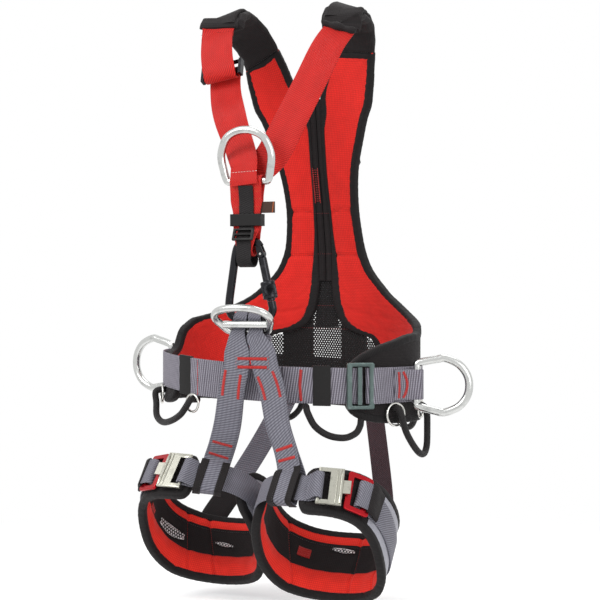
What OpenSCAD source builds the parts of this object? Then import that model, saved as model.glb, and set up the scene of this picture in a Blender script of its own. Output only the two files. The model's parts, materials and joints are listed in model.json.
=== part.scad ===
// Full-body work-at-height harness: padded back, chest straps, belt and two leg loops.
// Millimetres, +Z up, origin at the centre of the waist opening, wearer faces -Y.

/* [Waist and belt] */
// Half width of the waist opening, inside the pads
waist_half_width = 166; // [156:1:176]
// Half depth of the waist opening, inside the pads
waist_half_depth = 120; // [112:1:128]
// Width of the belt webbing
belt_web_w = 45; // [42:1:46]
// Thickness of the heavy webbing
web_t = 2.2; // [2:0.1:2.4]
// Thickness of the padded parts
pad_t = 9; // [7:0.5:9]
// Rise of the belt on the wearer's right as it hangs
belt_rise = 20; // [10:1:22]

/* [Shoulders and back] */
// Height of the shoulder crest over the belt
crest_z = 479; // [470:1:490]
// Distance of the shoulder crest from the middle
crest_x = 81; // [79:1:84]
// Width of the chest straps
chest_web_w = 45; // [40:1:46]
// Half width of the strip between the back pads
spine_half = 9; // [7:0.5:10]

/* [Chest] */
// Height of the bar of the chest ring
sternal_z = 259; // [254:1:264]
// Depth of the chest ring bar in front of the axis
sternal_y = -137; // [-138:0.5:-136]
// Section of the forged rings
ring_d = 10; // [9:0.5:10]
// Width of the chest ring, centre to centre of its section
sternal_ring_w = 67; // [63:1:70]
// Width of the side rings, centre to centre of their section
side_ring_w = 68; // [64:1:70]

/* [Carabiner] */
// Section of the carabiner body
krab_d = 10.4; // [9.5:0.1:10.4]
// Outer width of the locking sleeve
sleeve_d = 18.6; // [17:0.2:19]
// Length of the locking sleeve
sleeve_l = 22; // [20:0.5:22]

/* [Legs] */
// Half width of a leg loop, inside the pad
leg_half_w = 76; // [72:1:76]
// Half length of a leg loop along its slope, inside the pad
leg_half_l = 84; // [80:1:86]
// Slope of the leg loops, lower at the back
leg_slope = 39.5; // [37:0.5:41]
// Height of the leg pad at the back of the thigh
leg_pad_h = 98; // [92:1:102]
// Width of the leg webbing
leg_web_w = 36; // [34:1:38]
// Width of the risers from the waist ring to the legs
riser_w = 34; // [32:1:35]

/* [Cords and small parts] */
// Diameter of the gear loops
gear_d = 8.5; // [7.5:0.5:9]
// Wire diameter of the small accessory rings
acc_wire = 3.2; // [3:0.1:3.6]

/* [Hidden] */
A0 = waist_half_width;
B0 = waist_half_depth;
T = web_t;
rr = ring_d/2;
LY = pad_t + 0.5;            // first webbing layer over the pads
L2 = LY + T + 0.4;           // second layer
L3 = L2 + T + 0.4;           // third layer
red = [0.83,0.13,0.11]; blk = [0.10,0.10,0.11]; gry = [0.42,0.42,0.46];
lgt = [0.62,0.63,0.66]; stl = [0.78,0.79,0.80]; dgr = [0.27,0.28,0.29]; brn = [0.30,0.20,0.14];

// ---------- helpers ----------
function mix(a,b,t) = a + (b-a)*t;
function unit(v) = v/norm(v);
function crp(a,b,c,d,t) = 0.5*(2*b + (c-a)*t + (2*a-5*b+4*c-d)*t*t + (3*b-a-3*c+d)*t*t*t);
function smooth(p,n) = [for (i=[0:len(p)-2]) for (k=[0:n-1])
  crp(p[max(i-1,0)],p[i],p[i+1],p[min(i+2,len(p)-1)],k/n), p[len(p)-1]];
function smooth_loop(p,n) = let(m=len(p)) [for (i=[0:m-1]) for (k=[0:n-1])
  crp(p[(i+m-1)%m],p[i],p[(i+1)%m],p[(i+2)%m],k/n)];
function tangent(p,i,closed) = let(m=len(p)) unit(closed ? p[(i+1)%m]-p[(i+m-1)%m]
  : p[min(i+1,m-1)]-p[max(i-1,0)]);

// skin over a row of equal rings, turned so that its faces look outwards
module sweep(rings, closed=false) {
  m = len(rings); n = len(rings[0]);
  pts = [for (r=rings) for (p=r) p];
  side = [for (i=[0:(closed ? m-1 : m-2)]) for (j=[0:n-1])
    let(a=i*n+j, b=i*n+(j+1)%n, c=((i+1)%m)*n+(j+1)%n, d=((i+1)%m)*n+j) each [[a,b,c],[a,c,d]]];
  caps = closed ? [] : [for (j=[0:n/2-2]) let(e=(m-1)*n) each
    [[j,n-1-j,j+1],[j+1,n-1-j,n-2-j],[e+j,e+j+1,e+n-1-j],[e+j+1,e+n-2-j,e+n-1-j]]];
  all = concat(side,caps);
  vol = [for (f=all) (pts[f[0]]-pts[0])*cross(pts[f[1]]-pts[0],pts[f[2]]-pts[0])]
    * [for (f=all) 1];
  polyhedron(points=pts, faces=vol > 0 ? [for (f=all) [f[2],f[1],f[0]]] : all, convexity=8);
}
// flat strap: path, width direction (one or per point), width (one or per point), thickness
function at(v,i) = is_list(v[0]) ? v[i] : v;
function wat(w,i) = is_list(w) ? w[i] : w;
function strap_rings(p,W,w,t,closed=false) = [for (i=[0:len(p)-1])
  let(tg=tangent(p,i,closed), ww=unit(at(W,i)-tg*(at(W,i)*tg)), n=cross(tg,ww), h=wat(w,i)/2)
  [p[i]-ww*h-n*t/2, p[i]+ww*h-n*t/2, p[i]+ww*h+n*t/2, p[i]-ww*h+n*t/2]];
module strap(p,W,w,t,closed=false) { sweep(strap_rings(p,W,w,t,closed), closed); }
// round bar: path, radius, reference direction
function tube_rings(p,r,up,n,closed) = [for (i=[0:len(p)-1])
  let(tg=tangent(p,i,closed), a=unit(cross(up,tg)), b=cross(tg,a))
  [for (k=[0:n-1]) p[i] + r*(cos(360*k/n)*a + sin(360*k/n)*b)]];
module tube(p,r,up,n=12,closed=false) { sweep(tube_rings(p,r,up,n,closed), closed); }
// place flat (u,v) points on a plane
function on_plane(p,o,u,v) = [for (q=p) o + q[0]*u + q[1]*v];
module frame(o,u,v,w) {
  multmatrix([[u[0],v[0],w[0],o[0]],[u[1],v[1],w[1],o[1]],[u[2],v[2],w[2],o[2]],[0,0,0,1]])
    children();
}

// ---------- the wearer's surface ----------
// back profile: h, y at the middle, z, outward normal y and z, share of the side curve
dz = crest_z - 487;
prof = [[-70,B0,-70,1,0,1],[110,B0,110,1,0,1],[142,B0+1,142,1,0,1],[180,B0-1,180,1,0,1],
 [205,B0-5,205,.99,.1,1],[240,B0-12,240,.98,.2,1],[290,B0-24,290,.98,.2,1],
 [340,B0-32,340+dz*.3,.99,.14,1],[369,B0-36,369+dz*.6,.98,.2,1],[410,B0-44,410+dz*.8,.95,.3,.9],
 [437,B0-52,437+dz*.9,.9,.44,.75],[461,B0-64,458+dz,.77,.64,.6],[485,B0-81,474+dz,.5,.87,.5],
 [509,B0-102,484+dz,.2,.98,.45],[529,B0-122,487+dz,-.08,1,.4],[543,B0-135,483+dz,-.42,.9,.4],
 [554,B0-142,475+dz,-.78,.62,.4],[566,B0-146,463+dz,-.95,.3,.4]];
function col(c) = [for (r=prof) [r[0],r[c]]];
pY = col(1); pZ = col(2); pN = col(3); pM = col(4); pK = col(5);
slope_t = [[420,0],[470,.2],[520,.325],[600,.325]];
function zc(x) = 8 - belt_rise*x/364 + 0.0002*x*x;
tilt_t = [[30,1],[110,0]];
// point on the surface: angle from the back middle, height along the profile, offset outward
function surf(f,h,o=0) = let(x=A0*sin(f), n=lookup(h,pN), m=lookup(h,pM))
  [x + o*sin(f),
   lookup(h,pY) - B0*(1-cos(f))*lookup(h,pK) + o*cos(f)*n,
   lookup(h,pZ) - lookup(h,slope_t)*(abs(x)-crest_x) + o*cos(f)*m
     + lookup(h,tilt_t)*(zc(x)-5)];
function fx(x) = asin(x/A0);
// point on the belt: angle, height over the belt line, offset
function bp(f,z,o) = [(A0+o)*sin(f), (B0+o)*cos(f), zc(A0*sin(f)) + z];
// unit directions at a belt angle
function bn(f) = unit([sin(f)/(A0+LY), cos(f)/(B0+LY), 0]);
function bt(f) = let(n=bn(f)) [n[1],-n[0],0];

// block over the belt between two angles: offsets and heights
module band(f0,f1,o0,o1,z0,z1,step=3) {
  n = max(1,ceil(abs(f1-f0)/step));
  sweep([for (i=[0:n]) let(f=mix(f0,f1,i/n)) [bp(f,z0,o0),bp(f,z0,o1),bp(f,z1,o1),bp(f,z1,o0)]]);
}
module clip(f0,f1,o0,o1,z0,z1,t) {
  n = max(1,ceil(abs(f1-f0)/3));
  sweep([for (i=[0:n]) let(f=mix(f0,f1,i/n))
    [bp(f,z0,o0),bp(f,z0,o1),bp(f,z1,o1),bp(f,z1,o0),
     bp(f,z1-t,o0),bp(f,z1-t,o1-t),bp(f,z0+t,o1-t),bp(f,z0+t,o0)]]);
}

// ---------- back pads ----------
// rows of [inner angle, inner h, outer angle, outer h]
// the rows below are shares of a 166 mm half width, so they follow the waist
function px(x) = asin(x/166);
function sx(x) = px(x + spine_half - 9);
top_rows = [[px(27),410,px(88),410],[px(15),392,px(85),392],[sx(9),376,px(82),376],
 [sx(8.5),355,px(74),358],[sx(8.5),330,px(66),330],[sx(8.5),300,px(58),300],
 [sx(8.5),270,px(53),270],[sx(9.5),236,px(51),236],[sx(10.5),205,px(53),205],
 [sx(10.5),180,px(57),180],[sx(10),158,px(65),158],[sx(9.5),145,px(75),143],
 [sx(9.5),133,px(87),130],[sx(11),120,px(99),118],[sx(13),107,px(113),108],
 [sx(16),96,px(126),99],[sx(20),86,px(137),92],[sx(27),76,px(146),87],[sx(38),69,px(153),83],
 [sx(54),64,px(159),79]];
left_rows = [[px(72),58,77,75],[px(83),44,81,71],[px(89),22,85,69],[px(94),-4,89,68],
 [36,-28,93,68],[42,-39,98,67],[52,-42,103,65],[63,-43,108,62],[75,-43,113,59],[87,-43,118,56],
 [99,-43,122,53],[110,-43,126,49],[119,-42,130,44],[127,-39,133,39],[133,-34,136,32],
 [137,-25,138.5,22],[139,-12,139.8,9]];
right_rows = [[px(72),58,77,72],[px(83),44,81,66],[px(89),22,84,58],[px(94),-4,86.5,46],
 [36,-28,89,33],[42,-37,93,27],[52,-40,98,25],[63,-40,103,24],[75,-40,108,23],[87,-40,113,22],
 [99,-40,118,21],[110,-40,123,19],[119,-39,127,17],[127,-35,131,12],[132,-28,134,4],
 [135,-19,136,-8]];
shoulder_top = [[px(54),562,px(107.5),562],[px(54),554,px(107.5),554],[px(54),543,px(107.5),543],
 [px(54),529,px(107.5),529],[px(53.5),509,px(106),509],[px(51.5),497,px(104.5),497]];
cover_right = concat(shoulder_top,[[px(50),488,px(101.5),479],[px(48),476,px(97),461],
 [px(45.5),465,px(93),447],[px(43.5),456.6,px(90),433]]);
cover_left = concat(shoulder_top,[[px(48),479,px(101.5),479],[px(41.5),464,px(97.5),464],
 [px(35),449,px(94),449]]);
neck_right = [[px(43.5),456,px(90),432.4],[px(38.5),440,px(89.3),424],[px(32.5),424,px(88.6),416]];
// the wearer's left pad keeps its inner edge close to the spine up to the cover
neck_left = [[px(34.5),448.4,px(94),448.4],[px(27.5),436,px(91.5),436],[px(19.5),423,px(89.3),423],
 [px(13),410,px(88),410],[sx(9),392,px(85),392]];
// cross-section loop of a padded row: inner face out, outer face back, round edges
vs = [0,.035,.12,.3,.5,.7,.88,.965,1];
ol = [.5,.17,0,0,0,0,0,.17,.5];
function pad_ring(r,sg,t) = concat(
  [for (i=[0:8]) let(v=vs[i]) surf(sg*mix(r[0],r[2],v),mix(r[1],r[3],v),max(ol[i]*t,0)-.02*(i==0||i==8?1:0))],
  [for (i=[8:-1:0]) let(v=vs[i]) surf(sg*mix(r[0],r[2],v),mix(r[1],r[3],v),t-ol[i]*t+.02*(i==0||i==8?1:0))]);
module pad(rows,sg,t) {
  rings = [for (q=rows) pad_ring(q,sg,t)];
  sweep(rings);
}
module pad_right() { color(red) pad(concat(neck_right,top_rows,right_rows),-1,pad_t); }
module pad_left() {
  color(red) pad(concat(neck_left,[for (i=[2:len(top_rows)-1]) top_rows[i]],left_rows),1,pad_t);
}
module shoulder_cover_right() { color(blk) pad(cover_right,-1,pad_t+1); }
module shoulder_cover_left() { color(blk) pad(cover_left,1,pad_t+1); }

// strip between the pads, from the neck to the lumbar mesh
function strip_ring(h,w,o0,o1) = [surf(-w,h,o0),surf(0,h,o0),surf(w,h,o0),
  surf(w,h,o1),surf(0,h,o1),surf(-w,h,o1)];
inner_t = [for (q=concat(top_rows,[[px(72),58],[px(83),44],[px(89),22],[px(94),-4],[36,-28],
  [37,-45]])) [q[1],q[0]-.2]];
module spine_strip() {
  hs = [for (i=[0:16]) mix(383,146,i/16)];
  color(blk) sweep([for (h=hs) strip_ring(h, min(lookup(h,inner_t),lookup(376,inner_t)), 1, pad_t-1)]);
}
module lumbar_mesh() {
  hs = [145,139,133,120,107,96,86,76,69,64,58,44,22,-4,-20,-37];
  ks = [0:8];
  color(blk) sweep([for (h=hs) let(w=lookup(h,inner_t)-.1)
    concat([for (k=ks) surf(mix(-w,w,k/8),h,1.5)],[for (k=ks) surf(mix(w,-w,k/8),h,pad_t-2)])]);
}

// ---------- shoulder and chest straps ----------
cw = chest_web_w;
function lip(sg,h) = surf(sg*fx(crest_x),h,bw_off(560)+.4);
lipR = lip(-1,563);
lipL = lip(1,563);
wR = [.935,.18,.305]; wL = [.935,-.18,-.305];
// wearer's right: short upper piece folded round the slide bar, then the long strap
adjR = lipR + [19,-26,-57];
adj_v = unit([-.15,.48,.867]);
module shoulder_webbing_right() {
  p0 = lipR + [0,-1.5,-3];
  b = adjR;
  p = smooth([lip(-1,556.5), lip(-1,560), p0, mix(p0,b+[0,-9.5,0],.4)+[0,-4,0], mix(p0,b+[0,-9.5,0],.75)+[0,-3,0],
    b+[0,-8.2,2], b+[0,-6.2,-5.5], b+[0,0,-8.6], b+[0,5.5,-6.2], b+[0,7.2,1.5]],3);
  color(red) strap(p, [for (i=[0:len(p)-1]) unit(mix(wR,[.985,0,.17],min(1,i/15)))], cw, T);
}
module shoulder_adjuster_right() {
  color(blk) frame(adjR, unit([.985,0,.17]), adj_v, cross(unit([.985,0,.17]),adj_v)) {
    rotate([0,90,0]) translate([0,0,-(cw+13)/2]) cylinder(d=8.4,h=cw+13,$fn=24);
    for (s=[-1,1]) translate([s*(cw+9)/2-2,-8,-4.5]) cube([4,24,9]);
    translate([-(cw+9)/2,12,-2]) cube([cw+9,4,4]);
  }
}
ringc = [0, sternal_y, sternal_z];
module chest_strap_right() {
  e = ringc + [0,-rr-4.9,-5];
  p = smooth([adjR+[0,10.8,8], adjR+[0,10.4,-4], adjR+[2,6,-18], adjR+[10,-7,-38],
    mix(adjR,e,.45)+[-4,-3,0], mix(adjR,e,.68)+[-1,-3,0], e+[.4,9.8,28],
    e+[-.6,3,15], e+[0,0,6], e],3);
  n = len(p);
  color(red) strap(p, [for (i=[0:n-1]) unit(mix([.985,0,.17],[1,0,0],i/(n-1)))],
    [for (i=[0:n-1]) mix(cw,36.6,i/(n-1))], T);
}
module chest_strap_left() {
  e = ringc + [5,rr+4.9,-4];
  p = smooth([lip(1,556.5), lip(1,560), lipL+[0,-1.5,-3], mix(lipL,e,.14)+[-2,-8,0], mix(lipL,e,.36)+[3.5,-19,0],
    mix(lipL,e,.62)+[8,-17,0], mix(lipL,e,.82)+[6,-9,0], e+[1,-.6,14], e],4);
  n = len(p);
  color(red) strap(p, [for (i=[0:n-1]) let(t=i/(n-1)) unit(t < .75 ? mix(wL,[.93,0,-.36],t/.75)
    : mix([.93,0,-.36],[1,0,-.02],(t-.75)/.25))], [for (i=[0:n-1]) mix(cw,36,max(0,4*i/(n-1)-3))], T);
}
// ---------- outside of the back ----------
bw_pts = [[0,554],[0,543],[0,529],[-1,519],[-2,509],[-3.6,497],[-5.4,485],[-8,473],[-11,461],
  [-14,449],[-17,437],[-25,410],[-33,385],[-42,358],
  [-50,335],[-54,310],[-54,280],[-54,240],[-54,200],[-54,160],[-54,120],[-54,80],[-54,50],[-54,34]];
function bw_off(h) = pad_t + 1.35 + T/2 + max(0,min(1,(h-405)/28))*1.6;
function bw_at(sg,q,d) = surf(sg*fx(crest_x+q[0])+d,q[1],bw_off(q[1]));
module back_webbing(sg) {
  q = smooth(bw_pts,1);
  color(red) strap([for (k=q) bw_at(sg,k,0)], [for (k=q) bw_at(sg,k,4)-bw_at(sg,k,-4)], 38, T);
}
module back_webbing_right() { back_webbing(-1); }
module back_webbing_left() { back_webbing(1); }
plate_h = 322;
plate_o = surf(0,plate_h,pad_t+T+5);
pl_v = unit(surf(0,plate_h+20)-surf(0,plate_h-20));
pl_w = unit(cross([1,0,0],pl_v))*-1;
module dorsal_plate() {
  color(blk) frame(plate_o,[1,0,0],pl_v,-pl_w) difference() {
    linear_extrude(height=4,center=true)
      polygon([[-52,-30],[52,-30],[56,-24],[44,30],[38,36],[-38,36],[-44,30],[-56,-24]]);
    translate([-36,17,-4]) cube([72,7,8]);
    translate([-44,-20,-4]) cube([88,7,8]);
  }
  color(blk) for (x=[-19,7]) translate(dring_c+[x,0,0]) rotate([0,90,0]) difference() {
    cylinder(r=7.4,h=12,$fn=32);
    translate([0,0,-1]) cylinder(r=rr-.5+.35,h=14,$fn=32);
  }
}
dring_c = plate_o + pl_w*8.7;
// flat ring outline: bar along u at v=0, arc above
function dring(w,h,b) = [[-b/2+4,0],[-b/4,0],[0,0],[b/4,0],[b/2-4,0],[b/2+1,2.5],[w/2-1,h-w/2-6],[w/2,h-w/2+4],
  [w*.39,h-w*.19],[w*.2,h-w*.04],[0,h],[-w*.2,h-w*.04],[-w*.39,h-w*.19],[-w/2,h-w/2+4],
  [-w/2+1,h-w/2-6],[-b/2-1,2.5]];
// a rounder outline for the chest ring
function round_ring(w,h,b) = [[-b/2+4,0],[-b/4,0],[0,0],[b/4,0],[b/2-4,0],[b/2+.5,3],[w/2-1,h*.27],
  [w/2+.6,h*.53],[w*.4,h*.82],[w*.21,h*.96],[0,h],[-w*.21,h*.96],[-w*.4,h*.82],[-w/2-.6,h*.53],
  [-w/2+1,h*.27],[-b/2-.5,3]];
module dorsal_ring() {
  v = unit([0,.21,-1]);
  color(stl) tube(on_plane(smooth_loop(dring(62,64,46),2),dring_c,[1,0,0],v),
    rr-.5,cross([1,0,0],v),10,true);
}
// ---------- chest ring, link and retainer ----------
ring_tilt = 8;
module sternal_ring() {
  v = [0,-sin(ring_tilt),cos(ring_tilt)];
  color(stl) tube(on_plane(smooth_loop(round_ring(sternal_ring_w,64,56.5),2),ringc,[1,0,0],v),
    rr,cross([1,0,0],v),12,true);
}
krab_y = -140;
krab_top = 174;
function arc(c,r,a0,a1,n) = [for (i=[0:n]) let(a=mix(a0,a1,i/n)) c + [0,r*cos(a),r*sin(a)]];
module sternal_link() {
  rt = rr + .5 + T/2; kr = krab_d/2 + 1.4 + T/2;
  ct = ringc; cb = [1,krab_y,krab_top];
  my = -138.5; g = T/2 + .7;
  p = concat(arc(ct,rt,180,0,8), [[0,my+g+1.2,sternal_z-17],[0,my+g,sternal_z-26],
    [.3,my+g,220],[.5,my+g,209],[.6,my+g,201],[.8,cb[1]+4.9,193.5],[1,cb[1]+kr-.2,186.5]],
    arc(cb,kr,0,-180,8),
    [[1,cb[1]-kr+.2,186.5],[.8,cb[1]-4.8,193.5],[.6,my-g,201],[.5,my-g,209],[.3,my-g,220],[0,my-g,sternal_z-26],
     [0,my-g-1.2,sternal_z-17]]);
  color(red) strap(p,[1,0,0],[for (q=p) lookup(q[2],[[180,21],[187,29],[200,37],[219,37],[229,43]])],T,true);
}
ret_x = 1; ret_t = 1.6; ret_w = 20;
module retainer_strap() {
  my = -138.5; g = T + .7 + .4 + ret_t/2; cb = [ret_x,krab_y,163.5]; r = krab_d/2+T+2.5+ret_t/2+.3;
  p = concat([[ret_x,my-g-3.2,sternal_z-6],[ret_x,my-g-1.4,sternal_z-16],
     [ret_x,my-g,sternal_z-26],[ret_x,my-g,211],[ret_x,my-g,201],[ret_x,cb[1]-7.8,195],
     [ret_x,cb[1]-r+.2,187],[ret_x,cb[1]-r,177]], arc(cb,r,180,360,10),
    [[ret_x,cb[1]+r,177],[ret_x,cb[1]+r-.2,187],[ret_x,cb[1]+7.8,195],[ret_x,my+g,201],
     [ret_x,my+g,211],
     [ret_x,my+g,sternal_z-34]]);
  color(blk) strap(p,[1,0,0],ret_w,ret_t);
}
module retainer_buckle() {
  n = unit([0,-8,3.2]);
  o = [ret_x,krab_y-9.4,191] + n*3;
  color(blk) frame(o,[1,0,0],cross(n,[1,0,0]),n) difference() {
    translate([-14,-8,-1.6]) cube([28,16,3.6]);
    translate([-10.6,1.2,-4]) cube([21.2,4,9]);
    translate([-10.6,-5.2,-4]) cube([21.2,4,9]);
  }
}
module retainer_keeper() {
  my = -138.5; g = T + .7 + .4 + ret_t + .4; w = 19.4; t = 1.5;
  color(blk) translate([.4,my,210.5]) difference() {
    cube([2*(w+t),2*(g+t),15],center=true);
    cube([2*w,2*g,16],center=true);
  }
}
module marker_tag() {
  color(brn) translate([17,-138.9,219]) cube([21,.8,14]);
}
// ---------- carabiner ----------
hinge = [20.5,krab_y,168];
nose = [34.9,krab_y,104.6];
gd = unit(nose-hinge);
glen = norm(nose-hinge);
kr = krab_d/2;
body_path = concat([nose - gd*4.6, nose, nose + gd*3.5], [for (q=[[34.9,96.6],[31.6,91],
  [25,88.4],[14,88],[4,88],[-6,88],[-14,88.6],[-20.2,92],[-23.6,99],[-23.6,110],[-20.8,130],
  [-17.8,150],[-15.4,166],[-12.2,177],[-4.5,184],[5,185.4],[13.5,182.6],[18.4,177.2]])
  [q[0],krab_y,q[1]]]);
module carabiner_body() {
  color(dgr) difference() {
    union() {
      tube(smooth(body_path,2),kr,[0,1,0],12);
      for (s=[-1,1]) hull() {
        translate(hinge+[0,s*3.6,0]) rotate([90,0,0]) cylinder(r=4.4,h=2.2,center=true,$fn=24);
        translate([17.6,krab_y+s*3.4,177]) rotate([90,0,0]) cylinder(r=3.4,h=2.2,center=true,$fn=24);
      }
    }
    translate(hinge) rotate([90,0,0]) cylinder(d=3.3,h=14,center=true,$fn=24);
  }
}
gate_l = glen - 5.4;
gate_ang = atan2(gd[0],-gd[2]);
module gate_space() { translate(hinge) rotate([0,-gate_ang,0]) children(); }
module carabiner_gate() {
  color(dgr) gate_space() difference() {
    union() {
      translate([0,0,-gate_l]) cylinder(d=krab_d,h=gate_l-5.4,$fn=32);
      rotate([90,0,0]) cylinder(r=4.4,h=4.2,center=true,$fn=32);
      translate([-4.4,-2.1,-7]) cube([8.8,4.2,7]);
    }
    rotate([90,0,0]) cylinder(d=3.3,h=12,center=true,$fn=24);
  }
}
module gate_pin() {
  color(stl) translate(hinge) rotate([90,0,0]) cylinder(d=3,h=10.4,center=true,$fn=24);
}
sleeve_at = glen - 8.2 - sleeve_l;
module carabiner_sleeve() {
  color(dgr) gate_space() translate([0,0,-sleeve_at-sleeve_l]) difference() {
    cylinder(d=sleeve_d,h=sleeve_l,$fn=36);
    translate([0,0,-1]) cylinder(d=krab_d+.6,h=sleeve_l+2,$fn=36);
  }
}
// ---------- belt ----------
hw = belt_web_w/2;
bo = LY + T/2;
buckle_f = 133;
module belt_webbing() {
  run = [for (f=[-219:4:117]) bp(f,0,bo)];
  fold = [bp(121,0,bo),bp(125,0,bo),bp(128,0,bo+.2),bp(129.8,0,bo+1.2),bp(130.2,0,bo+T),
    bp(129.2,0,bo+T+1.4),bp(127,0,L2+T/2+.1),bp(124,0,L2+T/2),bp(121.5,0,L2+T/2)];
  color(gry) strap(concat(run,fold),[0,0,1],belt_web_w,T);
}
module belt_tail() {
  color(gry) band(131.4,166,L2,L2+T,-hw,hw);
}
module belt_keeper_left() { color(blk) clip(145.9,153.3,LY-.2,L2+T+.4+1.7,-hw-2.4,hw+2.4,1.7); }
module belt_keeper_right() { color(blk) clip(-150.2,-141.4,LY-.2,L2+1.7,-hw-2.4,hw+2.4,1.7); }
module belt_fold_right() {
  color(gry) sweep([for (q=[[-168.5,0],[-164.5,0],[-162,.1],[-160,1],[-158.8,2.4],[-157.5,3],
    [-154,3],[-151.2,2.8]]) let(f=q[0],o=q[1]) [bp(f,-hw-1,L2),bp(f,-hw-1,L2+T+o),
    bp(f,hw+1,L2+T+o),bp(f,hw+1,L2)]]);
}
bk_n = bn(buckle_f); bk_t = bt(buckle_f); bk_h = 2*hw+13;
bk_o = bp(buckle_f,0,L2+T+3.4);
module waist_buckle_frame() {
  color(dgr) frame(bk_o,bk_t,[0,0,1],-bk_n*-1) difference() {
    linear_extrude(height=4.6,center=true) offset(3,$fn=24) square([30,bk_h-6],center=true);
    cube([22,2*hw+3,9],center=true);
  }
}
module waist_buckle_bar() {
  color(stl) frame(bk_o,bk_t,[0,0,1],bk_n) union() {
    translate([1,0,0]) cube([6,2*hw+2.2,3],center=true);
  }
}
// side attachment: bar angle, ring swing
sideL = 101; sideR = -83;
bar_o = L3 + rr + 2.4;
function around(c,n,t,r,a0,a1,k) = [for (i=[0:k]) let(a=mix(a0,a1,i/k)) c + r*(cos(a)*n+sin(a)*t)];
module side_tab(f,sg) {
  c = bp(f,0,bar_o); n = bn(f); t = bt(f)*sg; r = rr + 1.5 + T/2;
  e = 14;
  p = concat([for (k=[0:3]) bp(f-sg*(e-k*3.2),0,L2+T/2+(k==3?.5:0))], around(c,n,t,r,205,-30,12),
    [bp(f-sg*3.4,0,L3+T/2+6.4), bp(f-sg*5.4,0,L3+T/2+2.6), bp(f-sg*7.6,0,L3+T/2+.4),
     bp(f-sg*10.5,0,L3+T/2), bp(f-sg*13.5,0,L3+T/2)]);
  color(gry) strap(p,[0,0,1],38,T);
}
module side_tab_left() { side_tab(sideL,-1); }
module side_tab_right() { side_tab(sideR,1); }
function ring_dir(sg) = [sg*cos(15),sin(15),0];
module side_ring(f,sg,tz) {
  c = bp(f,0,bar_o); u = unit([0,0,1]+tz*ring_dir(sg)); v = unit(ring_dir(sg)-tz*[0,0,1]);
  color(stl) tube(on_plane(smooth_loop(dring(side_ring_w,66,53),2),c,u,v),rr,cross(u,v),12,true);
}
module side_ring_left() { side_ring(sideL,1,.03); }
module side_ring_right() { side_ring(sideR,-1,-.04); }

// gear loops: each end leaves the belt or pad square, then hangs down
gr = gear_d/2;
function gp(f,z,o) = bp(f,z,o);
go = pad_t + .4;
module gear_loop(q,f,n) { color(blk) tube(smooth(q,n),gr,bn(f),8); }
module gear_loop_right() {
  gear_loop([gp(-117,-28,go),gp(-117,-28.2,go+7),gp(-117.3,-32,go+13),gp(-119,-45,22),
    gp(-124,-60,24),gp(-131,-66,22.5),gp(-140,-61,23),gp(-148,-50,25),gp(-152.6,-37,26.5),
    gp(-153.5,-29.4,23),gp(-153.5,-28.8,16),gp(-153.5,-28.8,LY+.5)],-134,3);
}
module gear_loop_left_front() {
  gear_loop([gp(156,-26.9,LY),gp(156,-27.2,LY+6),gp(155.4,-34,LY+10),gp(152.5,-50,20),gp(147,-61,19),
    gp(140,-64,16),gp(134,-59,9.5),gp(131.2,-51,5.4),gp(130.6,-46,4.6)],146,3);
}
module gear_loop_left_side() {
  gear_loop([gp(113,-29,go),gp(113,-29.4,go+7),gp(112.6,-35,go+12),gp(109,-60,22),gp(102.5,-82,24),
    gp(96,-89,24),gp(91,-80,23.5),gp(89.4,-58,23),gp(89,-36,go+12.5),gp(89,-28.4,go+7),
    gp(89,-28,go)],101,3);
}
module rear_gear_loop(s) {
  gear_loop([gp(s*12,-28,go-2.1),gp(s*12,-28.4,go+5),gp(s*12.3,-36,go+11),gp(s*14.5,-54,23),gp(s*18.5,-66,24),
    gp(s*23,-66,24),gp(s*27,-54,23),gp(s*29.2,-36,go+11),gp(s*29.5,-28.4,go+5),gp(s*29.5,-28,go-2.1)],s*20,3);
}
module gear_loop_rear_right() { rear_gear_loop(-1); }
module gear_loop_rear_left() {
  gear_loop([gp(32,-28,go-2.1),gp(32,-28.4,go+5),gp(32.3,-36,go+11),gp(34.5,-54,23),gp(38.5,-64,24),
    gp(43,-64,24),gp(47,-54,23),gp(49.2,-36,go+11),gp(49.5,-28.4,go+6),gp(49.5,-28,go+.4)],40,3);
}
// small rings hang on the cords where they leave the belt
function circle_path(r,n) = [for (i=[0:n-1]) [r*cos(360*i/n),r*sin(360*i/n)]];
module acc_ring(f,z,o,r) {
  c = bp(f,z-(r-acc_wire/2-gr-.6),o); u = bt(f);
  color(stl) tube(on_plane(circle_path(r,18),c,u,[0,0,1]),acc_wire/2,cross(u,[0,0,1]),8,true);
}
module accessory_ring_right_side() { acc_ring(-117,-28.1,go+4.4,12); }
module accessory_ring_right_front() { acc_ring(-153.5,-28.8,L2+T+5.4,11); }
module accessory_ring_left_front() { acc_ring(113,-29.2,go+4.4,14); }
module accessory_ring_left_side() { acc_ring(89,-28.2,go+4.4,11); }

// ---------- waist ring and risers ----------
vent = [3,-150,80.5];
vt = 50;
vdir = [0,-sin(vt),cos(vt)];
rod = vent + vdir*-14;
module ventral_ring() {
  p = smooth_loop([[-20,-14],[0,-14],[20,-14],[28,-10],[33,0],[37,10],[34.5,20.5],[25,28],
    [9,31.8],[-9,31.8],[-25,28],[-34.5,20.5],[-37,10],[-33,0],[-28,-10]],2);
  color(stl) union() {
    tube(on_plane(p,vent,[1,0,0],vdir),rr-.3,cross([1,0,0],vdir),12,true);
    translate(vent+[-33,0,0]) rotate([0,90,0]) cylinder(r=rr-.5,h=66,$fn=28);
  }
}

rise_top = [[-5.1,krab_y,88.2],[13.8,krab_y,88.2]];
leg_a = leg_half_w; leg_b = leg_half_l; leg_c = leg_a + 12.2;
LC = [[-leg_c,-66,-170],[leg_c,-98,-176]];
U2 = [0,cos(leg_slope),-sin(leg_slope)];
NL = [0,sin(leg_slope),cos(leg_slope)];
function sd(s) = s < 0 ? 0 : 1;
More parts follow.
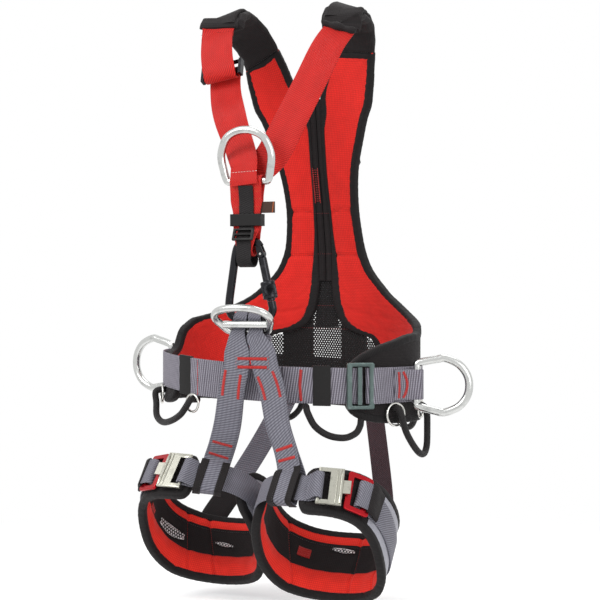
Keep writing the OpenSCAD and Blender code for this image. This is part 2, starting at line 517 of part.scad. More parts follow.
// the loop runs level in front and falls towards the back
function gz(c) = c < 0 ? -1+pow(1+c,1.6) : c + .5*c*(1-c);
function gzd(c) = c < 0 ? 1.6*pow(1+c,.6) : 1.5 - c;
function lp(s,f,o,w=0) = LC[sd(s)] + [s*(leg_a+o)*sin(f), (leg_b+o)*cos(f)*U2[1],
  (leg_b+o)*gz(cos(f))*U2[2]] + w*NL;
function ltan(s,f) = unit([s*(leg_a+LY)*cos(f), -(leg_b+LY)*sin(f)*U2[1],
  -(leg_b+LY)*sin(f)*gzd(cos(f))*U2[2]]);
function lup(s,f) = let(t=ltan(s,f)) unit(NL - t*(NL*t));
function lout(s,f) = s*cross(lup(s,f),ltan(s,f));
lw = leg_web_w/2;
// angles round the leg loop, 0 at the back, positive to the outside
riser_f = [-155,-165]; bar_f = [182.5,165.5]; frame_f = [150,134];
lbar_o = LY + T + 6.4;
sl_t = 1.4; so = T/2 + .4 + sl_t; sw = lw + .4 + sl_t;
module riser(s) {
  i = sd(s); f = riser_f[i]; r = kr + .75 + T/2; c = rise_top[i]; g = T + .4;
  rx = s < 0 ? [-7,-8.2,-8.6,-8.4,-8,-11,-17.5,-28,-39] : [13.8,14.2,15.8,21,27,33,39.6,48,58];
  ry = s < 0 ? [-147,-136.5,-128] : [-152,-154,-154.5];
  ro = so + .9 + T/2; ri = ro + 2.6;
  mid = [[rx[3],-151,58],[rx[4],-151.6,46],[rx[5],-151.6,26],[rx[6],ry[0],0],[rx[7],ry[1],-42],
    [rx[8],ry[2],-70]];
  front = concat([[rx[0],-145.75,84.8],[rx[0],-143.5,80.6],[rx[1],-144,77.2],[rx[1],-146,74],
    [rx[2],-147.9,70.4],[rx[2],-149.7,65.4]], mid);
  loop = [lp(s,f,bo+ro+.3,24),lp(s,f,bo+ro,14),lp(s,f,bo+ro+.1,0),lp(s,f,bo+ro+.2,-14),
    lp(s,f,bo+ro+.1,-sw+.2),lp(s,f,bo+ro-1.4,-sw-2.8),lp(s,f,bo-.8,-sw-3.4),lp(s,f,bo-ri+2,-sw-2.6),
    lp(s,f,bo-ri+.2,-sw+.6),lp(s,f,bo-ri,-14),lp(s,f,bo-ri,0),lp(s,f,bo-ri,14),lp(s,f,bo-ri-.3,24)];
  back = concat([for (k=[5:-1:1]) mid[k]+[0,g,0]], [[rx[3],-146.6,57],[rx[3],-139,60.5],[rx[2],-133.8,65.5],[rx[1],-132.4,72],
    [rx[1],-132.4,79]]);
  w2 = ltan(s,f)*(ltan(s,f)[0] > 0 ? 1 : -1);
  p = concat(arc(c,r,0,180,8), front, loop, back);
  W = [for (q=p) let(t=min(1,max(0,(20-q[2])/110))) unit(mix([1,0,0],w2,t*t*(3-2*t)))];
  wd = [for (q=p) q[2] > 76 ? 17.4 : q[2] > 46 ? mix(riser_w-1,18,min(1,(q[2]-46)/28)) : riser_w];
  color(gry) strap(p,W,wd,T,true);
}
module riser_right() { riser(-1); }
module riser_left() { riser(1); }

// ---------- leg loops ----------
hw_t = [[0,leg_pad_h/2],[50,leg_pad_h/2-1],[85,leg_pad_h/2-7],[105,leg_pad_h/2-13],
  [118,leg_pad_h/2-20],[125,leg_pad_h/2-29],[128.5,leg_pad_h/2-40]];
module leg_pad(s) {
  fs = concat([-128.5,-127,-124,-120],[for (k=[-7:7]) k*15.6],[120,124,127,128.5]);
  rings = [for (f=fs) let(h=lookup(abs(f),hw_t)) concat(
    [for (i=[0:8]) lp(s,f,ol[i]*pad_t-(i==0||i==8?.02:0),mix(-h,h,vs[i]))],
    [for (i=[8:-1:0]) lp(s,f,pad_t-ol[i]*pad_t+(i==0||i==8?.02:0),mix(-h,h,vs[i]))])];
  color(red) sweep(rings);
}
module leg_pad_right() { leg_pad(-1); }
module leg_pad_left() { leg_pad(1); }
function plate_g(s) = lp(s,frame_f[sd(s)]+8.2,LY+T+10.1);
function plate_x(s) = unit(plate_g(s) - lp(s,bar_f[sd(s)],lbar_o));
function plate_y(s) = let(x=plate_x(s)) unit(NL - x*(NL*x));
module leg_webbing(s) {
  i = sd(s); fb = bar_f[i]; ff = frame_f[i];
  c = lp(s,fb,lbar_o); n = lout(s,fb); t = -ltan(s,fb); r = 2.4 + .5 + T/2;
  head = concat([lp(s,fb+9.3,L2+T/2+.2),lp(s,fb+7.4,L2+T/2+1.4),
    lp(s,fb+4.8,L2+T/2+5),lp(s,fb+2.4,lbar_o+r-.4)], around(c,n,t,r,-10,190,10),
    [lp(s,fb+3.2,bo+2.4),lp(s,fb+5.6,bo+.7),lp(s,fb+8,bo)]);
  run = [for (k=[0:1:52]) lp(s,mix(fb+12,ff+360-12,k/52),bo)];
  tail = [lp(s,ff-5,bo),lp(s,ff-2,bo+.1),lp(s,ff-.4,bo+1.2),lp(s,ff+.6,bo+3.4),lp(s,ff+.2,bo+6),
    lp(s,ff-1.4,bo+8),lp(s,ff-4.5,bo+8.8),lp(s,ff-8,bo+9.2),lp(s,ff-11.5,bo+9.2),
    lp(s,ff-14.5,bo+7.8),lp(s,ff-18.5,bo+5.2),lp(s,ff-23,bo+3.6)];
  color(gry) strap(concat(head,run,tail),concat([for (q=head) plate_y(s)],[for (q=concat(run,tail)) NL]),
    leg_web_w,T);
}
module leg_webbing_right() { leg_webbing(-1); }
module leg_webbing_left() { leg_webbing(1); }
module leg_buckle_frame(s) {
  f = frame_f[sd(s)]; t = ltan(s,f);
  color([.75,.12,.12]) frame(lp(s,f,LY+T+2.5),t,lup(s,f),lout(s,f)) difference() {
    linear_extrude(height=4,center=true) offset(4,$fn=24) square([26,2*lw+8],center=true);
    translate([1.5,0,0]) cube([15,2*lw+3,9],center=true);
  }
}
module leg_buckle_frame_right() { leg_buckle_frame(-1); }
module leg_buckle_frame_left() { leg_buckle_frame(1); }
module leg_buckle_plate(s) {
  fb = bar_f[sd(s)]; ff = frame_f[sd(s)];
  c = lp(s,fb,lbar_o); x = plate_x(s); len = norm(plate_g(s)-c);
  z = cross(x,plate_y(s))*(cross(x,NL)*lout(s,fb) > 0 ? 1 : -1); y = cross(z,x);
  color(stl) frame(c,x,y,z) {
    rotate([90,0,0]) cylinder(d=4.8,h=2*lw+12,center=true,$fn=24);
    difference() {
      translate([len/2-1,0,0]) cube([len+2,2*lw+14,3],center=true);
      translate([3.6,0,0]) cube([18,2*lw+3,9],center=true);
      for (q=[-1,1]) translate([len-1,q*(lw+5.5),0]) cube([17,2*lw-7,9],center=true);
    }
  }
}
module leg_buckle_plate_right() { leg_buckle_plate(-1); }
module leg_buckle_plate_left() { leg_buckle_plate(1); }
module leg_sleeve(s) {
  f0 = riser_f[sd(s)];
  color(blk) difference() {
    sweep([for (k=[-4:4]) let(f=f0+k*2.85) [lp(s,f,bo-so,-sw),lp(s,f,bo+so,-sw),
      lp(s,f,bo+so,sw),lp(s,f,bo-so,sw)]]);
    sweep([for (k=[-4.5:1:4.5]) let(f=f0+k*2.85,a=so-sl_t,b=sw-sl_t) [lp(s,f,bo-a,-b),lp(s,f,bo+a,-b),
      lp(s,f,bo+a,b),lp(s,f,bo-a,b)]]);
  }
}
module leg_sleeve_right() { leg_sleeve(-1); }
module leg_sleeve_left() { leg_sleeve(1); }
module rear_strap(s) {
  f = 28; a = s < 0 ? -20.6 : 23.5;
  q = [bp(a,-hw-2.6,bo),bp(a,-hw-12,bo),bp(a+s*.4,-hw-22,bo+.6),
    mix(bp(a+s,-hw-30,bo+1),lp(s,f,bo+5,60),.33)+[0,2,-2],
    mix(bp(a+s,-hw-30,bo+1),lp(s,f,bo+5,60),.7)+[0,3,-2],
    lp(s,f,bo+3.5,58),lp(s,f,bo+1.2,50),lp(s,f,bo,38),lp(s,f,bo,lw+1.4)];
  p = smooth(q,2); n = len(p);
  w1 = ltan(s,f)*(ltan(s,f)[0] > 0 ? 1 : -1);
  color(blk) strap(p,[for (i=[0:n-1]) unit(mix(bt(a),w1,i/(n-1)))],30,T);
}
module rear_strap_right() { rear_strap(-1); }
module rear_strap_left() { rear_strap(1); }

pad_right();
pad_left();
spine_strip();
lumbar_mesh();
shoulder_cover_right();
shoulder_cover_left();
chest_strap_right();
chest_strap_left();
shoulder_webbing_right();
shoulder_adjuster_right();
back_webbing_right();
back_webbing_left();
dorsal_plate();
dorsal_ring();
sternal_ring();
sternal_link();
retainer_strap();
retainer_buckle();
retainer_keeper();
marker_tag();
carabiner_body();
carabiner_gate();
carabiner_sleeve();
gate_pin();
belt_webbing();
belt_tail();
belt_keeper_left();
belt_keeper_right();
belt_fold_right();
waist_buckle_frame();
waist_buckle_bar();
side_tab_left();
side_tab_right();
side_ring_left();
side_ring_right();
gear_loop_right();
gear_loop_left_front();
gear_loop_left_side();
gear_loop_rear_right();
gear_loop_rear_left();
accessory_ring_right_side();
accessory_ring_right_front();
accessory_ring_left_front();
accessory_ring_left_side();
ventral_ring();
riser_right();
riser_left();
leg_pad_right();
leg_pad_left();
leg_webbing_right();
leg_webbing_left();
leg_buckle_frame_right();
leg_buckle_frame_left();
leg_buckle_plate_right();
leg_buckle_plate_left();
rear_strap_right();
rear_strap_left();
leg_sleeve_right();
leg_sleeve_left();
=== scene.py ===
"""A full-body work harness, standing open as if worn, dressed round its CAD frame.

Lengths in the code are millimetres; meshes are stored in metres.
"""

from __future__ import annotations

import json
import logging
import math
from dataclasses import dataclass
from enum import Enum
from functools import cache, partial
from typing import Callable, Sequence

import bmesh
import bpy
import numpy as np
from mathutils import Matrix, Vector

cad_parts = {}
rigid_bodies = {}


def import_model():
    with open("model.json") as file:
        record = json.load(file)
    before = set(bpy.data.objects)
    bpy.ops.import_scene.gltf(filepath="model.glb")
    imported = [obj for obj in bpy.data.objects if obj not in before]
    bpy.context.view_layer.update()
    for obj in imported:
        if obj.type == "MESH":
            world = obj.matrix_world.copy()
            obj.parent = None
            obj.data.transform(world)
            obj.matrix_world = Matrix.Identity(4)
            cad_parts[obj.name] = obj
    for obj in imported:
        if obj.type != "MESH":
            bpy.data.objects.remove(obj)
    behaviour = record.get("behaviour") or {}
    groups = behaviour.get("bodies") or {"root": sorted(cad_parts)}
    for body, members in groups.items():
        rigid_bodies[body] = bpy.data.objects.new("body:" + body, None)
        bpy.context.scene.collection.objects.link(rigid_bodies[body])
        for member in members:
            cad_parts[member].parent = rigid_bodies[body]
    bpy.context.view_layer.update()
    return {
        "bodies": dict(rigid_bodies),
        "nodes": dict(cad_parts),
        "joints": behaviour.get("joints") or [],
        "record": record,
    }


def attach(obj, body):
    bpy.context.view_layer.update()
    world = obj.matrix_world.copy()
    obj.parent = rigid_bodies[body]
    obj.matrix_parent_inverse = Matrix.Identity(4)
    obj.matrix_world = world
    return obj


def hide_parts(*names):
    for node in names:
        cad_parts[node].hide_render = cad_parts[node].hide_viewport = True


Array, Piece, Socket = np.ndarray, bpy.types.Object, bpy.types.NodeSocket
Spots = list[tuple[float, float, float]]
log = logging.getLogger("harness")
MM = 0.001
HARNESS = "harness"
X_AXIS, Z_AXIS = np.array([1.0, 0, 0]), np.array([0, 0, 1.0])
SIDES = ((-1, "right"), (1, "left"))


# ---------------------------------------------------------------- small geometry


def sind(angle: float | Array) -> float | Array:
    """Returns the sine of an angle in degrees."""
    return np.sin(np.radians(angle))


def cosd(angle: float | Array) -> float | Array:
    """Returns the cosine of an angle in degrees."""
    return np.cos(np.radians(angle))


def unit(vector: Sequence[float] | Array) -> Array:
    """Returns a vector, or each row of an array, at length one."""
    array = np.asarray(vector, float)
    return array / np.linalg.norm(array, axis=-1, keepdims=True)


def mix(a, b, share: float):
    """Returns the point that lies a share of the way from a to b."""
    return np.asarray(a, float) + (np.asarray(b, float) - np.asarray(a, float)) * share


def smooth(points: Sequence, steps: int, closed: bool = False) -> Array:
    """Runs a smooth curve through points.

    Args:
        points: Rows of coordinates the curve passes through.
        steps: How many pieces each span is cut into.
        closed: Whether the last point joins the first.

    Returns:
        The rows of the finer curve.
    """
    p = np.asarray(points, float)
    if steps < 2:
        return p
    if closed:
        a, b, c, d = np.roll(p, 1, 0), p, np.roll(p, -1, 0), np.roll(p, -2, 0)
    else:
        b, c = p[:-1], p[1:]
        a, d = np.vstack([p[:1], p[:-2]]), np.vstack([p[2:], p[-1:]])
    rows = []
    for k in range(steps):
        t = k / steps
        rows.append(0.5 * (2 * b + (c - a) * t + (2 * a - 5 * b + 4 * c - d) * t * t
                           + (3 * b - a - 3 * c + d) * t ** 3))
    out = np.stack(rows, 1).reshape(-1, p.shape[1])
    return out if closed else np.vstack([out, p[-1:]])


def tangents(path: Array, closed: bool = False) -> Array:
    """Returns the unit direction of travel at each point of a path."""
    if closed:
        return unit(np.roll(path, -1, 0) - np.roll(path, 1, 0))
    return unit(np.vstack([path[1:2] - path[:1], path[2:] - path[:-2], path[-1:] - path[-2:-1]]))


def run_lengths(path: Array, closed: bool = False) -> Array:
    """Returns the distance travelled at each point of a path, in millimetres."""
    ends = np.vstack([path, path[:1]]) if closed else path
    return np.concatenate([[0.0], np.cumsum(np.linalg.norm(np.diff(ends, axis=0), axis=1))])


def arc(centre: Sequence[float], radius: float, start: float, end: float, count: int) -> Array:
    """Returns points of an arc in the YZ plane, between two angles in degrees."""
    a = np.linspace(start, end, count + 1)
    return np.asarray(centre, float) + radius * np.stack([0 * a, cosd(a), sind(a)], 1)


def around(centre, first, second, radius: float, start: float, end: float, count: int) -> Array:
    """Returns points of an arc in the plane of two directions."""
    a = np.linspace(start, end, count + 1)[:, None]
    return centre + radius * (cosd(a) * np.asarray(first) + sind(a) * np.asarray(second))


def hex_to_linear(code: str) -> tuple[float, float, float, float]:
    """Turns an sRGB hex colour into the linear colour that shaders use.

    Args:
        code: The colour as RRGGBB.

    Returns:
        Linear red, green, blue and an alpha of one.
    """
    parts = [int(code[i:i + 2], 16) / 255 for i in (0, 2, 4)]
    line = [c / 12.92 if c <= 0.04045 else ((c + 0.055) / 1.055) ** 2.4 for c in parts]
    return (*line, 1.0)


def add_node(tree: bpy.types.NodeTree, kind: str, inputs: dict | None = None, **settings) -> bpy.types.Node:
    """Adds a node with its settings and links.

    Args:
        tree: The tree that the node is added to.
        kind: The node's type name.
        inputs: Socket name or number to a value, or to the node or socket that feeds it.
        **settings: Properties of the node.

    Returns:
        The new node.
    """
    node = tree.nodes.new(kind)
    for key, value in settings.items():
        setattr(node, key, value)
    for key, value in (inputs or {}).items():
        value = value.outputs[0] if isinstance(value, bpy.types.Node) else value
        if isinstance(value, Socket):
            tree.links.new(value, node.inputs[key])
        else:
            node.inputs[key].default_value = value
    return node


def new_object(name: str, data: bpy.types.ID) -> Piece:
    """Returns a new object for some data, linked into the scene."""
    obj = bpy.data.objects.new(name, data)
    bpy.context.scene.collection.objects.link(obj)
    return obj


# ---------------------------------------------------------------- mesh building


def skin(name: str, rings: Array, across: Array, along: Array, closed: bool = False,
         slot_of: Callable[[Array, Array], Array] | None = None, sharp: float = 50.0) -> Piece:
    """Skins a row of section loops into one closed mesh with its own pattern map.

    Args:
        name: The object's name.
        rings: Section loops, rows by points by XYZ.
        across: Pattern coordinate round the section, one more than its points, or one set per row.
        along: Pattern coordinate down the row, one more than the rows when closed, or one set per row.
        closed: Whether the last loop joins the first.
        slot_of: Gives the material slot of each face from its row and column.
        sharp: Edges that turn more than this many degrees stay crisp.

    Returns:
        The new object, with no material yet.
    """
    m, n = rings.shape[:2]
    spans = m if closed else m - 1
    i, j = np.meshgrid(np.arange(spans), np.arange(n), indexing="ij")
    i2, j2 = (i + 1) % m, (j + 1) % n
    quads = np.stack([i * n + j, i * n + j2, i2 * n + j2, i2 * n + j], -1).reshape(-1, 4)
    pts = rings.reshape(-1, 3)
    a, b, c, d = (pts[quads[:, k]] - pts[0] for k in range(4))
    volume = np.einsum("ij,ij->i", a, np.cross(b, c)).sum() + np.einsum("ij,ij->i", a, np.cross(c, d)).sum()
    faces = [tuple(q) for q in quads]
    wide = np.vstack([across] * (m + 1)) if across.ndim == 1 else np.vstack([across, across[:1]])
    long = np.tile(np.append(along, along[-1:])[:m + 1, None], (1, n + 1)) if along.ndim == 1 else along
    uv = np.stack([np.stack([wide[p, q], long[p, q]], -1)
                   for p, q in ((i, j), (i, j + 1), (i + 1, j + 1), (i + 1, j))], 2).reshape(-1, 4, 2)
    loops = list(uv)
    slots = (slot_of(i, j) if slot_of else np.zeros_like(i)).reshape(-1).tolist()
    if not closed:
        for row, order in ((0, range(n - 1, -1, -1)), (m - 1, range(n))):
            order = list(order)
            faces.append(tuple(row * n + k for k in order))
            loops.append(np.array([[wide[row, k], long[row, k]] for k in order]))
            slots.append(slots[0] if row == 0 else slots[-1])
    if volume < 0:
        faces = [f[::-1] for f in faces]
        loops = [l[::-1] for l in loops]
    mesh = bpy.data.meshes.new(name)
    mesh.from_pydata((pts * MM).tolist(), [], faces)
    layer = mesh.uv_layers.new(name="weave")
    layer.data.foreach_set("uv", (np.concatenate(loops) * MM).ravel())
    mesh.polygons.foreach_set("material_index", slots)
    return finish_mesh(name, mesh, sharp)


def finish_mesh(name: str, mesh: bpy.types.Mesh, sharp: float = 50.0) -> Piece:
    """Shades a mesh smooth up to an angle and links it into the scene.

    Args:
        name: The object's name.
        mesh: Its mesh.
        sharp: Edges that turn more than this many degrees stay crisp.

    Returns:
        The new object.
    """
    mesh.update()
    mesh.polygons.foreach_set("use_smooth", [True] * len(mesh.polygons))
    mesh.set_sharp_from_angle(angle=math.radians(sharp))
    return new_object(name, mesh)


def round_edges(obj: Piece, width: float, segments: int = 2, angle: float = 30.0) -> None:
    """Adds a bevel to the edges that turn more than an angle in degrees; the width is in millimetres."""
    bevel = obj.modifiers.new("rounded_edges", "BEVEL")
    bevel.width, bevel.segments, bevel.limit_method = width * MM, segments, "ANGLE"
    bevel.angle_limit = math.radians(angle)


@dataclass
class Ribbon:
    """A flat strap of webbing with rounded selvedges, run along a path."""

    name: str  # the piece's name
    path: Array  # points of the middle of the strap
    across: Array  # width direction, one for the strap or one for each point
    width: float | Array  # width, one for the strap or one for each point
    thickness: float = 2.2  # thickness of the webbing
    closed: bool = False  # whether the strap is an endless loop
    fine: int = 3  # how many spans each span of the path is cut into

    def __post_init__(self) -> None:
        """Cuts the path finer and finds the strap's directions."""
        path = np.asarray(self.path, float)
        count = len(path)
        wide = np.broadcast_to(np.asarray(self.across, float), (count, 3))
        width = np.broadcast_to(np.asarray(self.width, float), (count,))
        rows = smooth(np.column_stack([path, wide, width]), self.fine, self.closed)
        self.mid, wide, self.half = rows[:, :3], rows[:, 3:6], rows[:, 6] / 2
        self.tangent = tangents(self.mid, self.closed)
        self.side = unit(wide - self.tangent * np.sum(wide * self.tangent, 1, keepdims=True))
        self.normal = np.cross(self.tangent, self.side)
        self.run = run_lengths(self.mid, self.closed)

    def build(self, slot_of: Callable | None = None) -> Piece:
        """Builds the strap's mesh and returns its object."""
        t = self.thickness
        h = self.half[:, None]
        face = np.array([-1, -.6, 0, .6, 1.0])
        u_face = face[None, :] * (h - .5 * t)
        u_right = h + np.array([-.14, 0.0, -.14])[None, :] * t
        u = np.concatenate([u_face, u_right, u_face[:, ::-1], -u_right], 1)
        v = np.concatenate([[.5] * 5, [.34, 0, -.34], [-.5] * 5, [-.34, 0, .34]]) * t
        v = np.broadcast_to(v, u.shape)
        rings = (self.mid[:, None] + u[..., None] * self.side[:, None] + v[..., None] * self.normal[:, None])
        across = np.concatenate([u[0], u[0][:1]]) + self.half[0]
        return skin(self.name, rings, across, self.run, self.closed, slot_of, 70.0)

    def index_at(self, z: float, start: float = 0.0, end: float = 1.0) -> int:
        """Finds the point of the strap nearest a height, within a share of its length."""
        a, b = int(start * (len(self.mid) - 1)), int(end * (len(self.mid) - 1)) + 1
        return a + int(np.argmin(np.abs(self.mid[a:b, 2] - z)))

    def spot(self, index: float, offset: float, face: int) -> tuple[Array, Array]:
        """Finds a place on the surface of the strap.

        Args:
            index: The point along the strap, which may lie between two points.
            offset: Distance from the middle line, towards the width direction.
            face: 1 for the face on the normal's side, -1 for the other.

        Returns:
            The place and the direction out of the face there.
        """
        i = min(int(index), len(self.mid) - 2)
        t = index - i
        out = unit(mix(self.normal[i], self.normal[i + 1], t)) * face
        return (mix(self.mid[i], self.mid[i + 1], t) + offset * mix(self.side[i], self.side[i + 1], t)
                + out * (self.thickness / 2 + .12), out)


@dataclass
class Bar:
    """A round or oval bar bent along a path."""

    name: str  # the piece's name
    path: Array  # points of the middle of the bar
    reference: Array  # a direction that is never along the path, usually the bend plane's normal
    radius: float | Array  # radius of the section along the in-plane direction
    radius_side: float | None = None  # radius along the reference direction, or the same if left out
    closed: bool = False  # whether the bar is a closed ring
    fine: int = 4  # how many spans each span of the path is cut into
    sides: int = 24  # facets round the section, shaded smooth

    def build(self) -> Piece:
        """Builds the bar's mesh and returns its object."""
        count = len(self.path)
        radii = np.broadcast_to(np.asarray(self.radius, float), (count,))
        rows = smooth(np.column_stack([self.path, radii]), self.fine, self.closed)
        mid, rad = rows[:, :3], rows[:, 3]
        tang = tangents(mid, self.closed)
        a = unit(np.cross(np.asarray(self.reference, float), tang))
        b = np.cross(tang, a)
        angle = 360 * np.arange(self.sides) / self.sides
        ra = rad[:, None, None]
        rb = ra if self.radius_side is None else ra * self.radius_side / radii[0]
        rings = (mid[:, None] + ra * cosd(angle)[None, :, None] * a[:, None]
                 + rb * sind(angle)[None, :, None] * b[:, None])
        across = 2 * math.pi * radii.mean() * np.arange(self.sides + 1) / self.sides
        return skin(self.name, rings, across, run_lengths(mid, self.closed), self.closed)


def turned(name: str, profile: Sequence[tuple[float, float]], origin: Array, axis: Array, sides: int = 48,
           flutes: int = 0, depth: float = 0.0, fluted: tuple[float, float] = (0, 0)) -> Piece:
    """Builds a turned piece, closed on its axis or hollow, with optional grip flutes.

    Args:
        name: The piece's name.
        profile: Distance along the axis and radius, in order along the outline.
        origin: Where distance zero lies.
        axis: Direction of the axis.
        sides: Facets round the axis.
        flutes: How many flutes the grip has.
        depth: Depth of the flutes.
        fluted: The stretch of the axis that has flutes.

    Returns:
        The new object.
    """
    w = unit(axis)
    u = unit(np.cross([0, 1, 0.01], w))
    v = np.cross(w, u)
    angle = 360 * np.arange(sides) / sides
    rings = []
    for s, r in profile:
        groove = depth * (0.5 - 0.5 * cosd(angle * flutes)) if flutes and fluted[0] < s < fluted[1] else 0
        rr = r - groove
        ring = (np.asarray(origin) + w * s + (rr * cosd(angle))[:, None] * u
                + (rr * sind(angle))[:, None] * v)
        rings.append(ring)
    rings = np.array(rings)
    mean = np.array([r for _, r in profile]).mean()
    along = np.concatenate([[0], np.cumsum([math.dist(p, q) for p, q in zip(profile, profile[1:])]), [0]])
    hollow = profile[0][1] > 0.3
    return skin(name, rings, 2 * math.pi * mean * np.arange(sides + 1) / sides, along, hollow, None, 35.0)


def machined_copy(frame: dict, node: str, bevel: float, segments: int = 2) -> Piece:
    """Copies a CAD node's solid, merges its loose triangles and rounds its edges.

    Args:
        frame: The loaded frame.
        node: The CAD node.
        bevel: Width of the rounding.
        segments: Facets across each rounded edge.

    Returns:
        The new object.
    """
    mesh = frame["nodes"][node].data.copy()
    bm = bmesh.new()
    bm.from_mesh(mesh)
    bmesh.ops.remove_doubles(bm, verts=bm.verts, dist=0.00002)
    bmesh.ops.dissolve_limit(bm, angle_limit=math.radians(1.0), verts=bm.verts, edges=bm.edges)
    bm.to_mesh(mesh)
    bm.free()
    mesh.materials.clear()
    obj = finish_mesh(node + "_finished", mesh, 35.0)
    round_edges(obj, bevel, segments)
    mod = obj.modifiers["rounded_edges"]
    mod.harden_normals, mod.miter_outer, mod.use_clamp_overlap = True, "MITER_ARC", True
    return obj


# ---------------------------------------------------------------- the shape it is worn on


@dataclass(frozen=True)
class WearerForm:
    """The surfaces that the harness lies on: back, waist and the two thighs."""

    half_width: float = 166.0  # half width of the waist opening
    half_depth: float = 120.0  # half depth of the waist opening
    crest_x: float = 81.0  # distance of the shoulder crest from the middle
    belt_rise: float = 20.0  # how far the belt rises towards the wearer's right
    pad: float = 9.0  # thickness of the padded parts
    web: float = 2.2  # thickness of the heavy webbing
    leg_width: float = 76.0  # half width of a leg loop inside the pad
    leg_length: float = 84.0  # half length of a leg loop along its slope
    leg_slope: float = 39.5  # slope of the leg loops in degrees

    @property
    def profile(self) -> Array:
        """Returns the back's outline: height, depth, z, outward y and z, share of the side curve."""
        b, dz = self.half_depth, -8.0
        return np.array([
            [-70, b, -70, 1, 0, 1], [110, b, 110, 1, 0, 1], [142, b + 1, 142, 1, 0, 1],
            [180, b - 1, 180, 1, 0, 1], [205, b - 5, 205, .99, .1, 1], [240, b - 12, 240, .98, .2, 1],
            [290, b - 24, 290, .98, .2, 1], [340, b - 32, 340 + dz * .3, .99, .14, 1],
            [369, b - 36, 369 + dz * .6, .98, .2, 1], [410, b - 44, 410 + dz * .8, .95, .3, .9],
            [437, b - 52, 437 + dz * .9, .9, .44, .75], [461, b - 64, 458 + dz, .77, .64, .6],
            [485, b - 81, 474 + dz, .5, .87, .5], [509, b - 102, 484 + dz, .2, .98, .45],
            [529, b - 122, 487 + dz, -.08, 1, .4], [543, b - 135, 483 + dz, -.42, .9, .4],
            [554, b - 142, 475 + dz, -.78, .62, .4], [566, b - 146, 463 + dz, -.95, .3, .4]])

    def belt_line(self, x: Array) -> Array:
        """Returns the height of the belt's middle at a distance from the wearer's middle."""
        return 8 - self.belt_rise * x / 364 + 0.0002 * x * x

    def back(self, f, h, o=0.0) -> Array:
        """Finds points on the back.

        Args:
            f: Angle from the middle of the back, positive to the wearer's left.
            h: Height along the back's outline.
            o: Distance outward from the surface.

        Returns:
            The points, XYZ in the last axis.
        """
        f, h, o = np.broadcast_arrays(np.asarray(f, float), np.asarray(h, float), np.asarray(o, float))
        p = self.profile
        y, z, n, m, k = (np.interp(h, p[:, 0], p[:, c]) for c in range(1, 6))
        x = self.half_width * sind(f)
        slope = np.interp(h, [420, 470, 520, 600], [0, .2, .325, .325])
        tilt = np.interp(h, [30, 110], [1, 0])
        return np.stack(
            [x + o * sind(f), y - self.half_depth * (1 - cosd(f)) * k + o * cosd(f) * n,
             z - slope * (np.abs(x) - self.crest_x) + o * cosd(f) * m + tilt * (self.belt_line(x) - 5)], -1)

    def side_angle(self, x: float) -> float:
        """Returns the angle at which the back is x millimetres from the middle."""
        return math.degrees(math.asin(x / self.half_width))

    def belt(self, f, z, o) -> Array:
        """Returns points on the belt at an angle, a height over the belt line and a distance out."""
        f, z, o = np.broadcast_arrays(np.asarray(f, float), np.asarray(z, float), np.asarray(o, float))
        return np.stack([(self.half_width + o) * sind(f), (self.half_depth + o) * cosd(f),
                         self.belt_line(self.half_width * sind(f)) + z], -1)

    def belt_out(self, f: float) -> Array:
        """Returns the direction out of the belt at an angle."""
        return unit(
            [sind(f) / (self.half_width + self.pad + .5), cosd(f) / (self.half_depth + self.pad + .5), 0])

    def belt_on(self, f: float) -> Array:
        """Returns the direction along the belt at an angle."""
        n = self.belt_out(f)
        return np.array([n[1], -n[0], 0])

    @property
    def leg_normal(self) -> Array:
        """Returns the direction across the leg straps, up the thigh."""
        return np.array([0, sind(self.leg_slope), cosd(self.leg_slope)])

    def leg_centre(self, side: int) -> Array:
        """Returns the centre of a leg loop; side is -1 for the wearer's right, 1 for the left."""
        c = self.leg_width + 12.2
        return np.array([-c, -66, -170.0]) if side < 0 else np.array([c, -98, -176.0])

    def leg(self, side: int, f, o, w=0.0) -> Array:
        """Finds points round a thigh.

        Args:
            side: -1 for the wearer's right leg, 1 for the left.
            f: Angle round the leg, 0 at the back, positive to the outside.
            o: Distance out from the inside of the pad.
            w: Distance up the thigh.

        Returns:
            The points, XYZ in the last axis.
        """
        f, o, w = np.broadcast_arrays(np.asarray(f, float), np.asarray(o, float), np.asarray(w, float))
        c = cosd(f)
        fall = np.where(c < 0, -1 + np.abs(1 + c) ** 1.6, c + .5 * c * (1 - c))
        length = self.leg_length + o
        loop = np.stack([side * (self.leg_width + o) * sind(f), length * c * cosd(self.leg_slope),
                         -length * fall * sind(self.leg_slope)], -1)
        return self.leg_centre(side) + loop + w[..., None] * self.leg_normal

    def leg_on(self, side: int, f: float) -> Array:
        """Returns the direction round the leg strap at an angle."""
        c = cosd(f)
        rate = 1.6 * (1 + c) ** .6 if c < 0 else 1.5 - c
        a, b = self.leg_width + self.pad + .5, self.leg_length + self.pad + .5
        return unit(
            [side * a * c, -b * sind(f) * cosd(self.leg_slope), b * sind(f) * rate * sind(self.leg_slope)])

    def leg_up(self, side: int, f: float) -> Array:
        """Returns the direction across the leg strap, square to its run."""
        t = self.leg_on(side, f)
        return unit(self.leg_normal - t * (self.leg_normal @ t))

    def leg_out(self, side: int, f: float) -> Array:
        """Returns the direction out of the leg strap."""
        return side * np.cross(self.leg_up(side, f), self.leg_on(side, f))


FORM = WearerForm()
LAYER_1 = FORM.pad + .5
LAYER_2 = LAYER_1 + FORM.web + .4
LAYER_3 = LAYER_2 + FORM.web + .4
ON_PAD = LAYER_1 + FORM.web / 2


# ---------------------------------------------------------------- finishes


